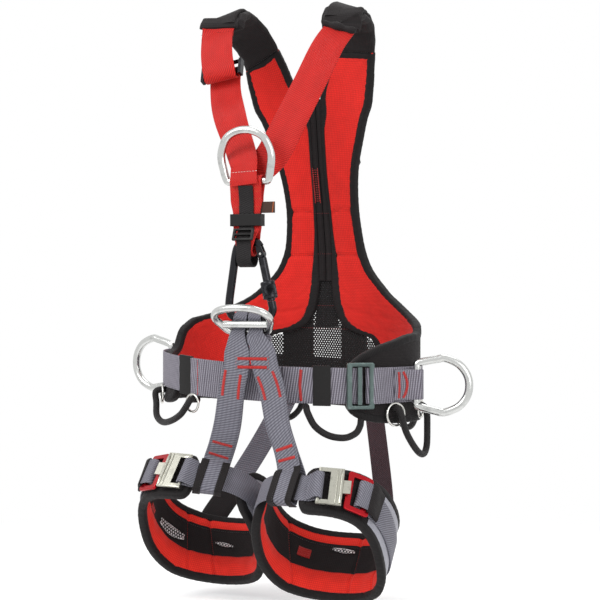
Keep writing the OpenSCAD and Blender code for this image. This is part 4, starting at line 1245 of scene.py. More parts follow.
@dataclass
class EdgeBinding:
    """Tape folded over the edge of a pad and sewn down, with the slight waves of hand sewing."""

    name: str  # the piece's name
    shell: PadShell  # the pad that it binds
    threads: ThreadWork  # what sews it down
    # width of the tape on each face, from the outline's two coordinates
    width: Callable[[Array, Array], Array]
    proud: float = 0.7  # how far the tape stands outside the pad's edge
    wave: float = 0.35  # height of the waves

    def build(self) -> Piece:
        """Builds the tape, sews its edge and returns its object."""
        rows = softened(even_loop(self.shell.outline(), 2.5), 3)
        mid, out = rows[:, :3], unit(rows[:, 3:6])
        inward = unit(np.cross(out, tangents(mid, True)))
        # the loop runs down the first column, so a point a few columns in tells which way is inward
        probe = self.shell.sheet[len(self.shell.sheet) // 2, 4]
        near = self.shell.place(probe[0], probe[1], self.shell.thickness / 2)
        closest = int(np.argmin(np.linalg.norm(mid - near, axis=1)))
        if (near - mid[closest]) @ inward[closest] < 0:
            inward = -inward
        run = run_lengths(mid, True)
        s = run[:-1]
        ripple = np.sin(2 * np.pi * s / 10.7) + .7 * np.sin(2 * np.pi * s / 6.9 + 1.3)
        width = softened(self.width(rows[:, 6], rows[:, 7])[:, None], 6)[:, 0]
        half_w = width / 2 + .12 * self.wave * ripple
        half_t = self.shell.thickness / 2 + 1.05 + .25 * self.wave * np.roll(ripple, 3)
        centre = mid + inward * (half_w - self.proud - .3 * self.wave * ripple)[:, None]
        c, d = squared(np.arange(0, 360, 20), .55)
        rings = (centre[:, None] + (half_w[:, None] * c)[..., None] * inward[:, None]
                 + (half_t[:, None] * d)[..., None] * out[:, None])
        section = np.concatenate([[0], np.cumsum(np.hypot(np.diff(c) * 5, np.diff(d) * 5)), [30]])
        sewn = mid + inward * (width - self.proud - 1.5)[:, None] - out * (half_t * .93 + .1)[:, None]
        self.threads.row(Thread.BLACK, Seam.FINE, np.vstack([sewn, sewn[:1]]), -np.vstack([out, out[:1]]))
        return skin(self.name, rings, section, run, True, None, 60.0)


@dataclass
class BackPads(SubAssembly):
    """The two long pads from the shoulders round the hips, with the strip and mesh between them."""

    seams: tuple[float, ...] = (231.0, 175.0)  # heights of the sewn channels across the pads
    fine: int = 10  # how many spans each row of the pad is cut into
    columns: int = 44  # points across each face of a pad

    def rows(self, side: int) -> Array:
        """Returns a pad's rows: inner angle, inner height, outer angle, outer height."""
        g = FORM.side_angle
        neck = ([(34.5, 448.4, 94, 448.4), (27.5, 436, 91.5, 436), (19.5, 423, 89.3, 423), (13, 410, 88, 410),
                 (9, 392, 85, 392)] if side > 0 else
                [(43.5, 456, 90, 432.4), (38.5, 440, 89.3, 424), (32.5, 424, 88.6, 416), (27, 410, 88, 410),
                 (15, 392, 85, 392)])
        upper = [
            (9, 376, 82, 376), (8.5, 355, 74, 358), (8.5, 330, 66, 330), (8.5, 300, 58, 300),
            (8.5, 270, 53, 270), (9.5, 236, 51, 236), (10.5, 205, 53, 205), (10.5, 180, 57, 180),
            (10, 158, 65, 158), (9.5, 145, 75, 143), (9.5, 133, 87, 130), (11, 120, 99, 118),
            (13, 107, 113, 108), (16, 96, 126, 99), (20, 86, 137, 92), (27, 76, 146, 87), (38, 69, 153, 83),
            (54, 64, 159, 79)]
        table = [(g(a), b, g(c), d) for a, b, c, d in neck + upper]
        if side > 0:
            table += [
                (g(72), 58, 77, 75), (g(83), 44, 81, 71), (g(89), 22, 85, 69), (g(94), -4, 89, 68),
                (36, -28, 93, 68), (42, -39, 98, 67), (52, -42, 103, 65), (63, -43, 108, 62),
                (75, -43, 113, 59), (87, -43, 118, 56), (99, -43, 122, 53), (110, -43, 126, 49),
                (119, -42, 130, 44), (127, -39, 133, 39), (133, -34, 136, 32), (137, -25, 138.5, 22),
                (139, -12, 139.8, 9)]
        else:
            table += [(g(72), 58, 77, 72), (g(83), 44, 81, 66), (g(89), 22, 84, 58), (g(94), -4, 86.5, 46),
                      (36, -28, 89, 33), (42, -37, 93, 27), (52, -40, 98, 25), (63, -40, 103, 24),
                      (75, -40, 108, 23), (87, -40, 113, 22), (99, -40, 118, 21), (110, -40, 123, 19),
                      (119, -39, 127, 17), (127, -35, 131, 12), (132, -28, 134, 4), (135, -19, 136, -8)]
        return np.array(table)

    def sheet(self, side: int) -> Array:
        """Returns the surface coordinates of a pad, closely spaced near its edges."""
        return spread_rows(smooth(self.rows(side), self.fine), side, crowded(self.columns, .4))

    def quilting(self, f: Array, h: Array, share: Array) -> Array:
        """Returns how deep the sewn channels and folds of the cloth press into the inner face."""
        depth = np.zeros_like(h)
        free = np.clip((np.minimum(share, 1 - share) - .06) / .1, 0, 1)
        for k, seam in enumerate(self.seams):
            sag = 3.0 * np.sin(np.pi * share) * (1 if k else -1)
            depth += 2.6 * np.exp(-((h - seam + sag) / 2.6) ** 2)
        depth += .8 * np.exp(-((h - 100 + 22 * share) / 4.5) ** 2)
        return depth * free

    @staticmethod
    def tape_width(f: Array, h: Array) -> Array:
        """Returns the width of the black edge, wide beside the mesh and narrow beside the strip."""
        inner = np.interp(h, [60, 85, 118, 138, 165, 205, 345, 372], [11, 14, 16, 15, 9, 4.5, 4.5, 10.5])
        beside = np.abs(FORM.half_width * sind(f)) < np.interp(h, [60, 90, 120, 380], [52, 26, 18, 20])
        return np.where(beside & (h > 40), inner, 10.5)

    def build(self) -> None:
        """Builds both pads, the strip and the mesh."""
        for side, word in SIDES:
            shell = PadShell(f"back_pad_{word}", self.sheet(side), FORM.back, FORM.pad, inner=self.quilting)
            show(shell, (Finish.RED_CLOTH, Finish.BLACK_CLOTH), f"pad_{word}", fill=0.8)
            show(EdgeBinding(f"back_binding_{word}", shell, self.threads, self.tape_width), Finish.BINDING)
            for seam in self.seams:
                self.channel_thread(side, seam)
        self.strip()
        self.lumbar()

    def inner_edge(self, h: float) -> float:
        """Returns the angle of the pads' inner edge at a height."""
        rows = self.rows(-1)
        keep = rows[:, 1] <= 411
        keys, values = rows[keep, 1][::-1], rows[keep, 0][::-1]
        order = np.argsort(keys, kind="stable")
        return float(np.interp(h, keys[order], values[order]))

    def channel_thread(self, side: int, seam: float) -> None:
        """Sews the dark red line in the bottom of a channel across one pad."""
        share = np.linspace(.12, .88, 24)
        rows = self.rows(-1)
        inner = np.interp(seam, rows[:23, 1][::-1], rows[:23, 0][::-1])
        outer = np.interp(seam, rows[:23, 3][::-1], rows[:23, 2][::-1])
        sag = 3.0 * np.sin(np.pi * share) * (-1 if seam == self.seams[0] else 1)
        f = side * (inner + (outer - inner) * share)
        self.threads.on_surface(Thread.DARK_RED, Seam.FINE, FORM.back, f, seam - sag, .75)

    def strip(self) -> None:
        """Builds the strip between the pads: two padded halves that meet in a sunk seam."""
        heights = np.linspace(390, 138, 85)
        u = np.array([-1, -.9, -.6, -.25, -.06, 0, .06, .25, .6, .9, 1])
        o = np.array([2.4, .9, .1, .6, 2.0, 3.6, 2.0, .6, .1, .9, 2.4])
        rings = []
        for h in heights:
            w = min(self.inner_edge(h), self.inner_edge(376)) + .6
            w = max(w, 3.1) if h > 150 else w
            rings.append(np.concatenate([FORM.back(u * w, h, o), FORM.back(u[::-1] * w, h, FORM.pad - 1.2)]))
        cloth = skin("spine_strip_cloth", np.array(rings), np.linspace(0, 44, len(rings[0]) + 1),
                     np.linspace(0, 250, len(heights)), sharp=45.0)
        show(cloth, Finish.BLACK_CLOTH, "spine_strip", fill=0.6)
        # a ladder of red tacking on the right-hand half, then the ends of the pads' channels
        ladder = [(np.full(16, a), np.linspace(292, 246, 16)) for a in (-3.0, -.5)]
        ladder += [(np.linspace(-2.8, -.7, 5), h) for h in np.linspace(290, 248, 15)]
        for f, h in ladder:
            self.threads.on_surface(Thread.RED, Seam.LADDER, FORM.back, f, h, -.9)
        for h in self.seams:
            self.threads.on_surface(Thread.DARK_RED, Seam.FINE, FORM.back, np.linspace(-3.4, 3.4, 9), h, -.9)

    def lumbar(self) -> None:
        """Builds the open mesh over the small of the back, its bottom hem and the tunnels behind it."""
        def flat(x: float, h: float) -> Array:
            """Puts a point of the flat net on the back."""
            return FORM.back(FORM.side_angle(x), h, 4.2)

        def inside(x: float, h: float) -> bool:
            """Tells whether a flat point is between the pads."""
            reach = min(self.inner_edge(h) + 2.0, 38.5)
            return abs(FORM.side_angle(min(abs(x), .99 * FORM.half_width))) < reach

        show(OpenNet("lumbar_net", 3.6, .44, .7, flat, inside, (-104, 104, -30, 152)), Finish.MESH,
             "lumbar_mesh")
        for side, word in SIDES:
            path = FORM.back(side * FORM.side_angle(40), np.linspace(116, -12, 26), 6.8)
            show(Ribbon(f"webbing_tunnel_{word}", path, np.array([1, -.25 * side, 0]), 43, 1.0, fine=2),
                 Finish.TUNNEL)
        show(Ribbon("wedge_backing", FORM.back(0, np.linspace(148, 72, 20), 6.4), X_AXIS,
                    np.linspace(22, 36, 20), 1.0, fine=2), Finish.WEDGE)
        f = np.linspace(-38, 38, 40)
        show(Ribbon("lumbar_hem", FORM.back(f, -25, 4.4), Z_AXIS, 24, 6.0, fine=2), Finish.BLACK_CLOTH)
        show(Bar("lumbar_piping", FORM.back(f, -13.5, 1.6), Z_AXIS, 1.3, fine=2, sides=10), Finish.RED_WEB)
        for level, reach in ((103, 12.0), (70, 30.0)):
            self.threads.on_surface(
                Thread.DARK_RED, Seam.FINE, FORM.back, np.linspace(-reach, reach, 30), level, 3.2)


@dataclass
class ShoulderParts(SubAssembly):
    """The covers over the shoulders and the webbing on the outside of the back."""

    web: float = 38.0  # width of the webbing on the back

    @staticmethod
    def rows(side: int) -> Array:
        """Returns a cover's rows: inner angle, height, outer angle, height."""
        g = FORM.side_angle
        table = [(54, 562, 107.5, 562), (54, 554, 107.5, 554), (54, 543, 107.5, 543),
                 (54, 529, 107.5, 529), (53.5, 509, 106, 509), (51.5, 497, 104.5, 497)]
        table += ([(48, 479, 101.5, 479), (41.5, 464, 97.5, 464), (35, 447.5, 94, 447.5)] if side > 0 else
                  [(50, 488, 101.5, 479), (48, 476, 97, 461), (45.5, 465, 93, 447), (43.5, 455, 90, 431)])
        return np.array([(g(a), b, g(c), d) for a, b, c, d in table])

    @staticmethod
    def web_offset(h: float) -> float:
        """Returns how far the back webbing lies from the wearer at a height."""
        return FORM.pad + 1.35 + FORM.web / 2 + max(0.0, min(1.0, (h - 405) / 28)) * 1.6

    def lip(self, side: int, h: float) -> Array:
        """Returns the middle of the shoulder webbing where it leaves the cover."""
        return FORM.back(side * FORM.side_angle(FORM.crest_x), h, self.web_offset(560) + .4)

    def build(self) -> None:
        """Builds both covers and both back straps."""
        def folds(a: Array, b: Array, share: Array) -> Array:
            """Returns the creases where the cover bends over the shoulder."""
            return .7 * np.sin(b / 4.2 + 6 * share) * np.exp(-((b - 480) / 34) ** 2)

        share = np.linspace(.06, .94, 24)
        for side, word in SIDES:
            rows = smooth(self.rows(side), 8)
            shell = PadShell(f"shoulder_cover_cloth_{word}", spread_rows(rows, side, crowded(30)), FORM.back,
                             FORM.pad + 1, crown=1.2, inner=folds, edge=5.5, outer_crown=1.2, hem=0)
            show(shell, (Finish.BLACK_CLOTH, Finish.BLACK_CLOTH), f"shoulder_cover_{word}", fill=0.7)
            for (f0, h0, f1, h1), lift in ((rows[-1], 3.5), (rows[0], -6.0)):
                f, h = side * mix(f0, f1, share), mix(h0, h1, share) + lift
                for o, face in ((-1.45, 1), (FORM.pad + 2.3, -1)):
                    self.threads.on_surface(Thread.BLACK, Seam.FINE, FORM.back, f, h, o, face)
            self.back_strap(side, word)

    def back_strap(self, side: int, word: str) -> None:
        """Builds the webbing from the shoulder down the outside of the back."""
        table = [(0, 554), (0, 543), (0, 529), (-1, 519), (-2, 509), (-3.6, 497), (-5.4, 485), (-8, 473),
                 (-11, 461), (-14, 449), (-17, 437), (-25, 410), (-33, 385), (-42, 358), (-50, 335),
                 (-54, 310), (-54, 280), (-54, 240), (-54, 200), (-53, 170), (-49.5, 140), (-44, 112),
                 (-42, 80), (-42, 50), (-42, 34)]
        centre, more, less = (
            np.array([FORM.back(side * FORM.side_angle(FORM.crest_x + d + e), h, self.web_offset(h))
                      for d, h in table]) for e in (0, 4, -4))
        strap = Ribbon(f"back_strap_{word}", centre, unit(more - less), self.web, FORM.web, fine=4)
        show(strap, Finish.RED_WEB, f"back_webbing_{word}")
        n = len(strap.mid) - 1
        face = 1 if strap.normal[n // 2][1] > 0 else -1
        for a, b in ((.60 * n, .66 * n), (.93 * n, .985 * n)):
            corners = [(a, -14), (a, 14), (b, 14), (b, -14), (a, -14)]
            for pair in zip(corners, corners[1:]):
                self.threads.on_ribbon(strap, Thread.BLACK, Seam.RUNNING, pair, face)
        top = slice(0, 37, 2)
        show(Ribbon(f"shoulder_sleeve_{word}", strap.mid[top], strap.side[top], self.web + 9,
                    FORM.web + 3.4, fine=2), Finish.BLACK_CLOTH)


# ---------------------------------------------------------------- straps and metalwork


def forged_outline(width: float, height: float, bar: float) -> Array:
    """Returns the flat outline of a forged D ring: its bar at zero, its bow above."""
    w, h, b = width, height, bar
    half = np.array([(b / 2 - 4, 0), (b / 2 + 1, 2.5), (w / 2 - 1, h - w / 2 - 6), (w / 2, h - w / 2 + 4),
                     (w * .39, h - w * .19), (w * .2, h - w * .04)])
    return ring_loop(half, h, b)


def ring_loop(half: Array, height: float, bar: float) -> Array:
    """Returns a ring's whole outline from its left half, its height and its bar's length."""
    return np.vstack(
        [[(-bar / 2 + 4, 0), (-bar / 4, 0), (0, 0), (bar / 4, 0)], half, [(0, height)],
         (half * [-1, 1])[:0:-1]])


def round_outline(width: float, height: float, bar: float) -> Array:
    """Returns the flat outline of a ring that is nearly round above a short straight bar."""
    w, h, b = width, height, bar
    return ring_loop(
        np.array([(b / 2 - 4, 0), (b / 2 + .5, 3), (w / 2 - 1, h * .27), (w / 2 + .6, h * .53),
                  (w * .4, h * .82), (w * .21, h * .96)]), h, b)


def on_plane(flat: Array, origin, first, second) -> Array:
    """Returns flat points placed on a plane."""
    return np.asarray(origin) + flat[:, :1] * np.asarray(first) + flat[:, 1:2] * np.asarray(second)


@dataclass
class ForgedRing:
    """A forged D ring that swings on its webbing."""

    name: str  # the CAD node and body
    centre: Array  # middle of its straight bar
    first: Array  # direction of the bar
    second: Array  # direction of the bow
    size: tuple[float, float, float]  # width, height and bar length
    radius: float = 5.0  # radius of the section
    outline: Callable = forged_outline  # gives the flat outline for a size

    def build(self) -> None:
        """Builds the ring and rides it on its own body."""
        flat = smooth(self.outline(*self.size), 2, True)
        bow = np.clip(flat[:, 1] / self.size[1], 0, 1)
        path = on_plane(flat, self.centre, self.first, self.second)
        ring = Bar(self.name + "_forged", path, np.cross(self.first, self.second),
                   self.radius * (1 + .035 * bow), self.radius * .97, True, 5, 28)
        show(ring, Finish.FORGED, self.name, body=self.name)


@dataclass
class ChestPoint(SubAssembly):
    """Chest straps, slide-bar adjuster, chest ring, folded link, retainer and tag."""

    shoulders: ShoulderParts  # the covers that the straps come out of
    height: float = 259.0  # height of the chest ring's bar
    depth: float = -137.0  # depth of the bar in front of the body axis
    web: float = 45.0  # width of the chest webbing
    ring: float = 5.0  # radius of the ring's section
    krab_y: float = -140.0  # depth of the carabiner's middle
    krab_top: float = 174.0  # height at which the link turns round the carabiner
    krab_r: float = 5.2  # radius of the carabiner's section

    @property
    def bar(self) -> Array:
        """Returns the middle of the chest ring's bar."""
        return np.array([0, self.depth, self.height])

    @property
    def adjuster(self) -> Array:
        """Returns the middle of the slide bar."""
        return self.shoulders.lip(-1, 563) + np.array([19, -26, -57.0])

    def build(self) -> None:
        """Builds every piece of the chest."""
        self.straps()
        self.machined("shoulder_adjuster_right", Finish.ANODISED, .7, slot="steel")
        ForgedRing("sternal_ring", self.bar, X_AXIS, np.array([0, -sind(8), cosd(8)]), (67, 64, 56.5),
                   self.ring, round_outline).build()
        self.link()
        self.retainer()
        self.machined("marker_tag", Finish.BROWN, .15)
        show(Ribbon("tag_band", np.array([(34.6, -138.5, 219.3), (36.2, -138.5, 232.7)]), X_AXIS, 1.6, 1.1,
                    fine=1), Finish.ORANGE)

    def straps(self) -> None:
        """Builds the three lengths of chest webbing."""
        sh, b, flat = self.shoulders, self.adjuster, np.array([.985, 0, .17])
        p0 = sh.lip(-1, 563) + [0, -1.5, -3]
        path = [sh.lip(-1, 556.5), sh.lip(-1, 560), p0, mix(p0, b + [0, -9.5, 0], .4) + [0, -4, 0],
                mix(p0, b + [0, -9.5, 0], .75) + [0, -3, 0], b + [0, -8.2, 2], b + [0, -6.2, -5.5],
                b + [0, 0, -8.6], b + [0, 5.5, -6.2], b + [0, 7.2, 1.5]]
        wide = [unit(mix([.935, .18, .305], flat, min(1, k / 5))) for k in range(len(path))]
        fold = Ribbon("shoulder_fold_right", path, wide, self.web, fine=8)
        show(fold, Finish.RED_WEB, "shoulder_webbing_right")

        e = self.bar + [0, -self.ring - 4.9, -5]
        path = np.array([
            b + [0, 10.8, 8], b + [0, 10.4, -4], b + [2, 6, -18], b + [10, -7, -38],
            mix(b, e, .45) + [1, -3, 0], mix(b, e, .68) + [5, -2, 0], e + [-3.5, 6.4, 28],
            e + [-2, 2.4, 15], e + [-.6, 0, 6], e])
        wide = unit(flat + (X_AXIS - flat) * np.linspace(0, 1, len(path))[:, None])
        width = np.interp(path[:, 2], [256, 275, 330, 420], [36.6, 35.6, 42, self.web])
        right = Ribbon("chest_web_right", path, wide, width, fine=10)
        show(right, Finish.RED_WEB, "chest_strap_right")
        face = 1 if right.normal[len(right.mid) // 2][1] < 0 else -1
        # white stitches across the strap where a pale line of light shows between the webbing's folds: partly
        # real stitching, partly painted highlight
        k = right.index_at(270.5, .5)
        self.threads.on_ribbon(right, Thread.WHITE, Seam.RUNNING, [(k, -17.5), (k, 17.5)], face)

        lip, e, low = sh.lip(1, 563), self.bar + [5, self.ring + 4.9, -4], [.93, 0, -.36]
        path = [sh.lip(1, 556.5), sh.lip(1, 560), lip + [0, -1.5, -3], mix(lip, e, .14) + [1, -8, 0],
                mix(lip, e, .36) + [9, -19, 0], mix(lip, e, .62) + [10, -17, 0],
                mix(lip, e, .82) + [6.5, -9, 0], e + [1, -.6, 14], e]
        share = np.linspace(0, 1, len(path))
        wide = [unit(mix([.935, -.18, -.305], low, t / .75) if t < .75 else
                     mix(low, [1, 0, -.02], (t - .75) / .25)) for t in share]
        left = Ribbon(
            "chest_web_left", path, wide, self.web + (36 - self.web) * np.maximum(0, 4 * share - 3), fine=10)
        show(left, Finish.RED_WEB, "chest_strap_left")
        self.hood(fold, -1, 2, 1.4)
        self.hood(left, 1, 21, 4.6)

    def hood(self, strap: Ribbon, side: int, stop: int, radius: float) -> None:
        """Builds the end of the black sleeve over a shoulder strap, with its rolled hem.

        Args:
            strap: The webbing it covers.
            side: -1 for the wearer's right, 1 for the left.
            stop: The point of the webbing where the sleeve ends.
            radius: Radius of the rolled hem.
        """
        word = dict(SIDES)[side]
        under = np.array([self.shoulders.lip(side, h) for h in (546, 550, 553.5)])
        rows = slice(0, stop + 1, 2)
        show(Ribbon(f"shoulder_hood_{word}", np.vstack([under, strap.mid[rows]]),
                    np.vstack([strap.side[:1]] * 3 + [strap.side[rows]]), self.web + 9.6, FORM.web + 5.0,
                    fine=2), Finish.BLACK_CLOTH)
        reach = np.linspace(-1, 1, 15)
        lump = 1 + .2 * np.cos(reach * 2 * math.pi + .6)
        face = 1 if strap.normal[stop] @ np.array([0, -.7, .7]) > 0 else -1
        line = (strap.mid[stop] + np.outer(reach * (self.web / 2 + 2.5), strap.side[stop])
                + np.outer(radius * .75 * lump, face * strap.normal[stop]))
        show(Bar(f"shoulder_roll_{word}", line, strap.tangent[stop],
                 radius * lump * (1 - .45 * np.abs(reach) ** 6), fine=3, sides=20), Finish.BLACK_CLOTH)

    def link(self) -> None:
        """Builds the folded webbing from the chest ring's bar to the carabiner."""
        t = FORM.web
        kr = self.krab_r + 1.4 + t / 2
        cb = np.array([1, self.krab_y, self.krab_top])
        my, g, sz = -138.5, t / 2 + .7, self.height
        down = [[0, my + g + 1.2, sz - 17], [0, my + g, sz - 26], [.3, my + g, 220], [.5, my + g, 209],
                [.6, my + g, 201], [.8, cb[1] + 4.9, 193.5], [1, cb[1] + kr - .2, 186.5]]
        up = [[1, cb[1] - kr + .2, 186.5], [.8, cb[1] - 4.8, 193.5], [.6, my - g, 201], [.5, my - g, 209],
              [.3, my - g, 220], [0, my - g, sz - 26], [0, my - g - 1.2, sz - 17]]
        path = np.vstack(
            [arc(self.bar, self.ring + .5 + t / 2, 180, 0, 8), down, arc(cb, kr, 0, -180, 8), up])
        width = np.interp(path[:, 2], [180, 187, 200, 219, 229], [21, 29, 37, 37, 43])
        strap = Ribbon("chest_link", path, X_AXIS, width, t, True, 4)
        show(strap, Finish.RED_WEB, "sternal_link")
        n = len(strap.mid)
        for z in (250.5, 246.0, 236.8, 226.3, 215.5):
            k = int(n * .7) + int(np.argmin(np.abs(strap.mid[int(n * .7):, 2] - z)))
            half = strap.half[k] - 3
            face = 1 if strap.normal[k][1] < 0 else -1
            self.threads.on_ribbon(strap, Thread.ORANGE, Seam.FINE, [(k, -half), (k, half)], face)

    def retainer(self) -> None:
        """Builds the black strap that keeps the carabiner in place, its buckle and its keeper."""
        my, t, x, y = -138.5, 1.6, 1.0, self.krab_y
        g = FORM.web + .7 + .4 + t / 2
        r = self.krab_r + FORM.web + 2.5 + t / 2 + .3
        front = [[x, my - g - 3.2, 253], [x, my - g - 1.4, 243], [x, my - g, 233], [x, my - g, 211],
                 [x, my - g, 201], [x, y - 7.8, 195], [x, y - r + .2, 187], [x, y - r, 177]]
        back = [[x, y + r, 177], [x, y + r - .2, 187], [x, y + 7.8, 195], [x, my + g, 201],
                [x, my + g, 211], [x, my + g, 225]]
        path = np.vstack([front, arc((x, y, 163.5), r, 180, 360, 10), back])
        show(Ribbon("retainer_web", path, X_AXIS, 20, t, fine=4), Finish.BLACK_WEB, "retainer_strap")
        self.machined("retainer_buckle", Finish.PLASTIC, .8)
        self.machined("retainer_keeper", Finish.PLASTIC, .6)


@dataclass
class Carabiner(SubAssembly):
    """Screw-lock carabiner: body, hinged gate, pin and knurled sleeve."""

    radius: float = 5.2  # radius of the body's section
    sleeve: float = 9.3  # outer radius of the locking sleeve
    sleeve_length: float = 22.0  # length of the sleeve
    y: float = -140.0  # depth of its middle

    def build(self) -> None:
        """Builds the carabiner's pieces."""
        y = self.y
        hinge, nose = np.array([20.5, y, 168]), np.array([34.9, y, 104.6])
        way = unit(nose - hinge)
        bend = [[34.9, 96.6], [31.6, 91], [25, 88.4], [14, 88], [4, 88], [-6, 88], [-14, 88.6], [-20.2, 92],
                [-23.6, 99], [-23.6, 110], [-20.8, 130], [-17.8, 150], [-15.4, 166], [-12.2, 177],
                [-4.5, 184], [5, 185.4], [13.5, 182.6], [18.4, 177.2]]
        path = np.vstack([nose - way * 4.6, nose, nose + way * 3.5, [[x, y, z] for x, z in bend]])
        show(Bar("carabiner_bow", path, np.array([0, 1.0, 0]), self.radius, self.radius * .96, False, 6, 28),
             Finish.ANODISED, "carabiner_body")
        for step, word in ((-3.55, "front"), (3.55, "rear")):
            show(self.cheek(f"hinge_cheek_{word}", hinge, y + step), Finish.ANODISED)
        self.machined("carabiner_gate", Finish.ANODISED, .35, body="carabiner_gate")
        self.machined("gate_pin", Finish.WIRE, .35)
        r, end = self.sleeve, self.sleeve_length
        at = np.linalg.norm(nose - hinge) - 8.2 - end
        profile = [(0, 5.6), (0, 8.2), (.4, 8.8), (1.2, 9.2), (1.9, r), (3.6, r), (3.9, r - .5),
                   (4.5, r - .5), (4.8, r), (5.6, r), (11, r), (16.6, r), (17.4, r), (17.7, r - .5),
                   (18.3, r - .5), (18.6, r), (20.2, r), (20.9, 9.2), (21.6, 8.8), (end, 8.2), (end, 5.6)]
        show(turned("sleeve_knurled", profile, hinge + way * at, way, 216, 36, .9, (5.0, 17.2)),
             Finish.ANODISED, "carabiner_sleeve", body="carabiner_sleeve")

    @staticmethod
    def cheek(name: str, hinge: Array, y: float) -> Piece:
        """Builds one cheek plate of the gate's hinge, rounded at both ends."""
        bm = bmesh.new()
        for cx, cz, r in ((hinge[0], hinge[2], 4.6), (17.6, 177.0, 3.6)):
            for a in np.radians(np.arange(0, 360, 10)):
                for s in (-1.15, 1.15):
                    bm.verts.new(((cx + r * math.cos(a)) * MM, (y + s) * MM, (cz + r * math.sin(a)) * MM))
        bmesh.ops.convex_hull(bm, input=bm.verts)
        bmesh.ops.dissolve_limit(bm, angle_limit=math.radians(2), verts=bm.verts, edges=bm.edges)
        mesh = bpy.data.meshes.new(name)
        bm.to_mesh(mesh)
        bm.free()
        obj = finish_mesh(name, mesh, 35.0)
        round_edges(obj, .5)
        obj.modifiers["rounded_edges"].harden_normals = True
        return obj


@dataclass
class Belt(SubAssembly):
    """The waist belt: webbing, tail, sewn fold, keepers and slide buckle."""

    width: float = 45.0  # width of the belt webbing

    def build(self) -> None:
        """Builds the belt's pieces and sews them."""
        t, on = FORM.web, ON_PAD
        run = [FORM.belt(f, 0, on) for f in range(-219, 118, 4)]
        fold = [FORM.belt(f, 0, o) for f, o in ((121, on), (125, on), (127.6, on + .2), (129.2, on + 1.3),
                                                (129.6, on + t + 1.2), (129.2, on + t + 4.2),
                                                (128.2, on + t + 6.4), (126.4, on + t + 7.2),
                                                (123.4, on + t + 5.6), (120.4, on + t + 2.6),
                                                (117.5, LAYER_2 + t / 2 + .2), (114.5, LAYER_2 + t / 2))]
        show(Ribbon("belt_web", run + fold, Z_AXIS, self.width, t), Finish.BELT_WEB, "belt_webbing")
        show(Ribbon("belt_tail_web", FORM.belt(np.arange(131.4, 166.1, 1.9), 0, LAYER_2 + t / 2), Z_AXIS,
                    self.width, t), Finish.BELT_WEB, "belt_tail")
        self.sewn_fold()
        for word in ("left", "right"):
            self.machined(f"belt_keeper_{word}", Finish.PLASTIC, .6)
        self.machined("waist_buckle_frame", Finish.DARK_STEEL, 1.3, 3)
        self.machined("waist_buckle_bar", Finish.DARK_STEEL, .7, slot="steel", body="waist_buckle_bar")
        self.sew()

    def sewn_fold(self) -> None:
        """Builds the fold of webbing sewn down beside the right-hand keeper."""
        half = self.width / 2 + 1
        rows = smooth([(-168.5, 0), (-164.5, 0), (-162, .1), (-160, 1), (-158.8, 2.4), (-157.5, 3), (-154, 3),
                       (-151.2, 2.8)], 5)
        z = np.linspace(-half, half, 9)
        rings = np.array([
            np.concatenate([FORM.belt(f, z, LAYER_2), FORM.belt(f, z[::-1], LAYER_2 + FORM.web + o)])
            for f, o in rows])
        across = np.concatenate([z, z[::-1], z[:1]]) + half
        fold = skin("belt_fold_web", rings, across, run_lengths(rings[:, 13]), sharp=40.0)
        round_edges(fold, .7)
        show(fold, Finish.BELT_WEB, "belt_fold_right")

    def sew(self) -> None:
        """Sews the tacks on the belt."""
        top = LAYER_2 + FORM.web
        for seam, spots, o in ((Seam.LADDER, [(-155.8, -21), (-155.8, 0), (-155.8, 21)], top + 3.3),
                               (Seam.TACK, [(158.2, -19), (158.6, 0), (158.2, 19)], top + .15)):
            rows = smooth(spots, 6)
            self.threads.row(
                Thread.RED, seam, [FORM.belt(f, z, o) for f, z in rows], [FORM.belt_out(f) for f, _ in rows])


@dataclass
class SidePoint(SubAssembly):
    """One side attachment: its folded tab and its forged ring."""

    word: str  # "left" or "right"
    angle: float  # where its bar lies on the belt
    side: int  # 1 for the wearer's left, -1 for the right
    lean: float  # how far the ring hangs out of level

    def build(self) -> None:
        """Builds the tab and the ring."""
        t, f, sg = FORM.web, self.angle, -self.side
        bar_o = LAYER_3 + 5 + 2.4
        c, n, along = FORM.belt(f, 0, bar_o), FORM.belt_out(f), FORM.belt_on(f) * sg
        r = 5 + 1.5 + t / 2
        first = [
            FORM.belt(f - sg * (14 - k * 3.2), 0, LAYER_2 + t / 2 + (.5 if k == 3 else 0)) for k in range(4)]
        last = [FORM.belt(f - sg * d, 0, LAYER_3 + t / 2 + o)
                for d, o in ((3.4, 6.4), (5.4, 2.6), (7.6, .4), (10.5, 0), (13.5, 0))]
        path = np.vstack([first, around(c, n, along, r, 205, -30, 12), last])
        tab = Ribbon(f"side_tab_web_{self.word}", path, Z_AXIS, 38, t)
        show(tab, Finish.BELT_WEB, f"side_tab_{self.word}")
        n_rows = len(tab.mid) - 1
        face = 1 if tab.normal[n_rows - 6] @ n > 0 else -1
        for k, bulge in ((2.5, .4), (5.5, 3.0)):
            curve = [(n_rows - k - bulge * (1 - (v / 16) ** 2), v) for v in np.linspace(-16, 16, 7)]
            self.threads.on_ribbon(tab, Thread.RED, Seam.TACK, curve, face)
        out = np.array([self.side * cosd(15), sind(15), 0])
        ForgedRing(f"side_ring_{self.word}", c, unit(Z_AXIS + self.lean * out),
                   unit(out - self.lean * Z_AXIS), (68, 66, 53)).build()


